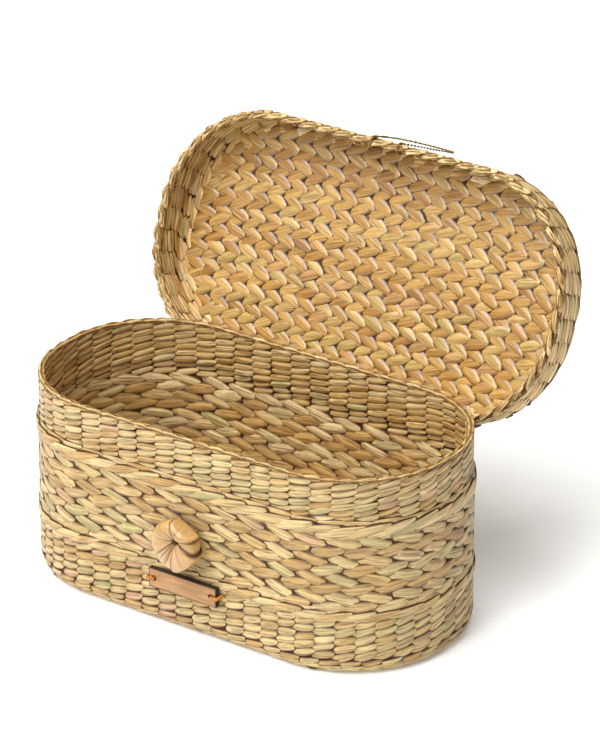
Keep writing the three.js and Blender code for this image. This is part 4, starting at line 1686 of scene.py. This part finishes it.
AMBER_THONG = ReedFinish(
    "waxed_amber_thong",
    ((0.0, "A4561A"), (0.6, "C87A2C"), (1.0, "D88F3C")),
    "4A2208", "6E3408", streak_length=6.0, streak_width=0.5, roughness=0.34, streak_depth=0.25,
    edge=(0.48, 0.84),
)


@dataclass
class Tag:
    """The bare wooden tag and the two thongs that tie it on."""

    bevel: float = 0.35
    thong_width: float = 2.0
    thong_thickness: float = 1.0

    def build(self) -> None:
        """Builds the plate and both thongs."""
        self.plate()
        for side in ("left", "right"):
            self.thong(side)

    def plate(self) -> None:
        """Builds the plate from its CAD solid, with its edges eased."""
        bm = bmesh.new()
        bm.from_mesh(frame["nodes"]["tag_plate"].data)
        bmesh.ops.remove_doubles(bm, verts=bm.verts, dist=0.00001)
        bmesh.ops.dissolve_limit(bm, angle_limit=math.radians(2), verts=bm.verts, edges=bm.edges)
        shared = [edge for edge in bm.edges if len(edge.link_faces) == 2]
        sharp = [edge for edge in shared if edge.calc_face_angle() > math.radians(50)]
        bmesh.ops.bevel(bm, geom=sharp, offset=self.bevel * MM, offset_type="OFFSET", affect="EDGES",
                        segments=2, profile=0.5, material=-1)
        bmesh.ops.triangulate(bm, faces=[f for f in bm.faces if len(f.verts) > 4])
        bmesh.ops.scale(bm, vec=Vector((1 / MM,) * 3), verts=bm.verts)
        mesh = bpy.data.meshes.new("tag_board")
        bm.to_mesh(mesh)
        bm.free()
        low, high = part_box("tag_plate")
        wood = WoodFinish().material(low, high)
        add_piece("tag_board", mesh, [wood], Body.BASKET, Slot.WOOD, ["tag_plate"])

    def thong(self, side: str) -> None:
        """Builds one thong: through the tag's hole and the wall, and round the tag's end.

        Args:
            side: Which end of the tag.
        """
        node = f"tag_thong_{side}"
        low, high = box_mm(node)
        half = self.thong_thickness / 2
        z = (low.z + high.z) / 2
        corners = [(low.x + half, low.y + half), (high.x - half, low.y + half),
                   (high.x - half, high.y - half), (low.x + half, high.y - half)]
        line = []
        for i, (x, y) in enumerate(corners):
            after = corners[(i + 1) % 4]
            for share in (0.06, 0.28, 0.5, 0.72, 0.94):
                line.append(Vector((x + (after[0] - x) * share, y + (after[1] - y) * share, z)))
        strands = Strands(f"tag_thong_{side}_strip", 61 if side == "left" else 62)
        strands.sweep(path_frames(line, True, UP), self.thong_width / 2, half, closed=True, sides=10)
        strands.finish(AMBER_THONG, Body.BASKET, Slot.THONG, [node])


@dataclass(frozen=True)
class FloorFinish:
    """Matt white studio paper: pale and even, so the shadow alone shows the ground."""

    name: str = "white_studio_paper"
    pale: str = "F4F4F2"
    shade: str = "EEEEEC"
    glow: float = 0.22

    def material(self) -> bpy.types.Material:
        """Builds the node tree.

        Returns:
            The new material.
        """
        material, tree = new_material(self.name)
        place = add_node(tree, "ShaderNodeTexCoord").outputs["Object"]
        noise = add_node(tree, "ShaderNodeTexNoise", {"Vector": place, "Scale": 1 / (25 * MM)})
        tones = ((0.3, self.shade), (0.7, self.pale))
        colour = add_node(tree, "ShaderNodeValToRGB", (noise.outputs["Fac"],), tones)
        shader = add_node(tree, "ShaderNodeBsdfPrincipled", {
            "Base Color": colour.outputs["Color"], "Roughness": 0.9, "Emission Color": linear(self.pale),
            "Emission Strength": self.glow,
        })
        add_node(tree, "ShaderNodeOutputMaterial", {"Surface": shader.outputs["BSDF"]})
        return material


@dataclass(frozen=True)
class Softbox:
    """A square soft lamp: its place and side in metres and its power in watts."""

    name: str
    place: tuple[float, float, float]
    size: float
    power: float


@dataclass
class Studio:
    """Floor, soft light and the camera at the photograph's angle."""

    lamps: tuple[Softbox, ...] = (
        Softbox("overhead_softbox", (-0.38, -0.75, 2.4), 2.6, 124.0),
        Softbox("key_softbox", (0.1, -2.45, 1.6), 0.8, 21.0),
    )
    lamp_aim: tuple[float, float, float] = (0.0, 0.0, 0.1)
    world_light: float = 0.19
    floor_half: float = 6.0
    azimuth: float = 35.4
    elevation: float = 25.04
    distance: float = 2.341
    target: tuple[float, float, float] = (0.03095, 0.0, 0.13632)
    lens: float = 210.2

    def build(self) -> None:
        """Sets the stage."""
        self.floor()
        self.world()
        for softbox in self.lamps:
            self.lamp(softbox)
        self.camera()

    def floor(self) -> None:
        """Lays the pale floor."""
        bm = bmesh.new()
        bmesh.ops.create_grid(bm, x_segments=4, y_segments=4, size=self.floor_half)
        mesh = bpy.data.meshes.new("floor")
        bm.to_mesh(mesh)
        bm.free()
        mesh.materials.append(FloorFinish().material())
        floor = bpy.data.objects.new("floor", mesh)
        bpy.context.scene.collection.objects.link(floor)

    def world(self) -> None:
        """Surrounds the stage with even white light."""
        world = bpy.data.worlds.new("studio_white")
        world.use_nodes = True
        back = world.node_tree.nodes["Background"]
        back.inputs["Color"].default_value = linear("FFFFFF")
        back.inputs["Strength"].default_value = self.world_light
        bpy.context.scene.world = world
        bpy.context.scene.view_settings.view_transform = "Standard"

    def lamp(self, softbox: Softbox) -> None:
        """Hangs a soft lamp that points at the box.

        Args:
            softbox: The lamp.
        """
        data = bpy.data.lights.new(softbox.name, "AREA")
        data.size = softbox.size
        data.energy = softbox.power
        lamp = bpy.data.objects.new(softbox.name, data)
        lamp.location = softbox.place
        aim = Vector(self.lamp_aim) - Vector(softbox.place)
        lamp.rotation_euler = aim.to_track_quat("-Z", "Y").to_euler()
        bpy.context.scene.collection.objects.link(lamp)

    def camera(self) -> None:
        """Sets the camera where the photograph was taken from."""
        data = bpy.data.cameras.new("photo_camera")
        data.lens = self.lens
        data.sensor_width = 36.0
        data.clip_end = 50.0
        camera = bpy.data.objects.new("photo_camera", data)
        turn, climb = math.radians(self.azimuth), math.radians(self.elevation)
        level = math.cos(climb)
        back = Vector((math.sin(turn) * level, -math.cos(turn) * level, math.sin(climb)))
        camera.location = Vector(self.target) + back * self.distance
        camera.rotation_euler = (-back).to_track_quat("-Z", "Y").to_euler()
        bpy.context.scene.collection.objects.link(camera)
        bpy.context.scene.camera = camera


def main() -> None:
    """Builds the stage and every piece of the box, in order."""
    logging.basicConfig(level=logging.INFO, format="%(message)s")
    Studio().build()
    lid = Lid()
    Basket().build()
    lid.build()
    Fastening().build(lid)
    Tag().build()


if __name__ == "__main__":
    main()
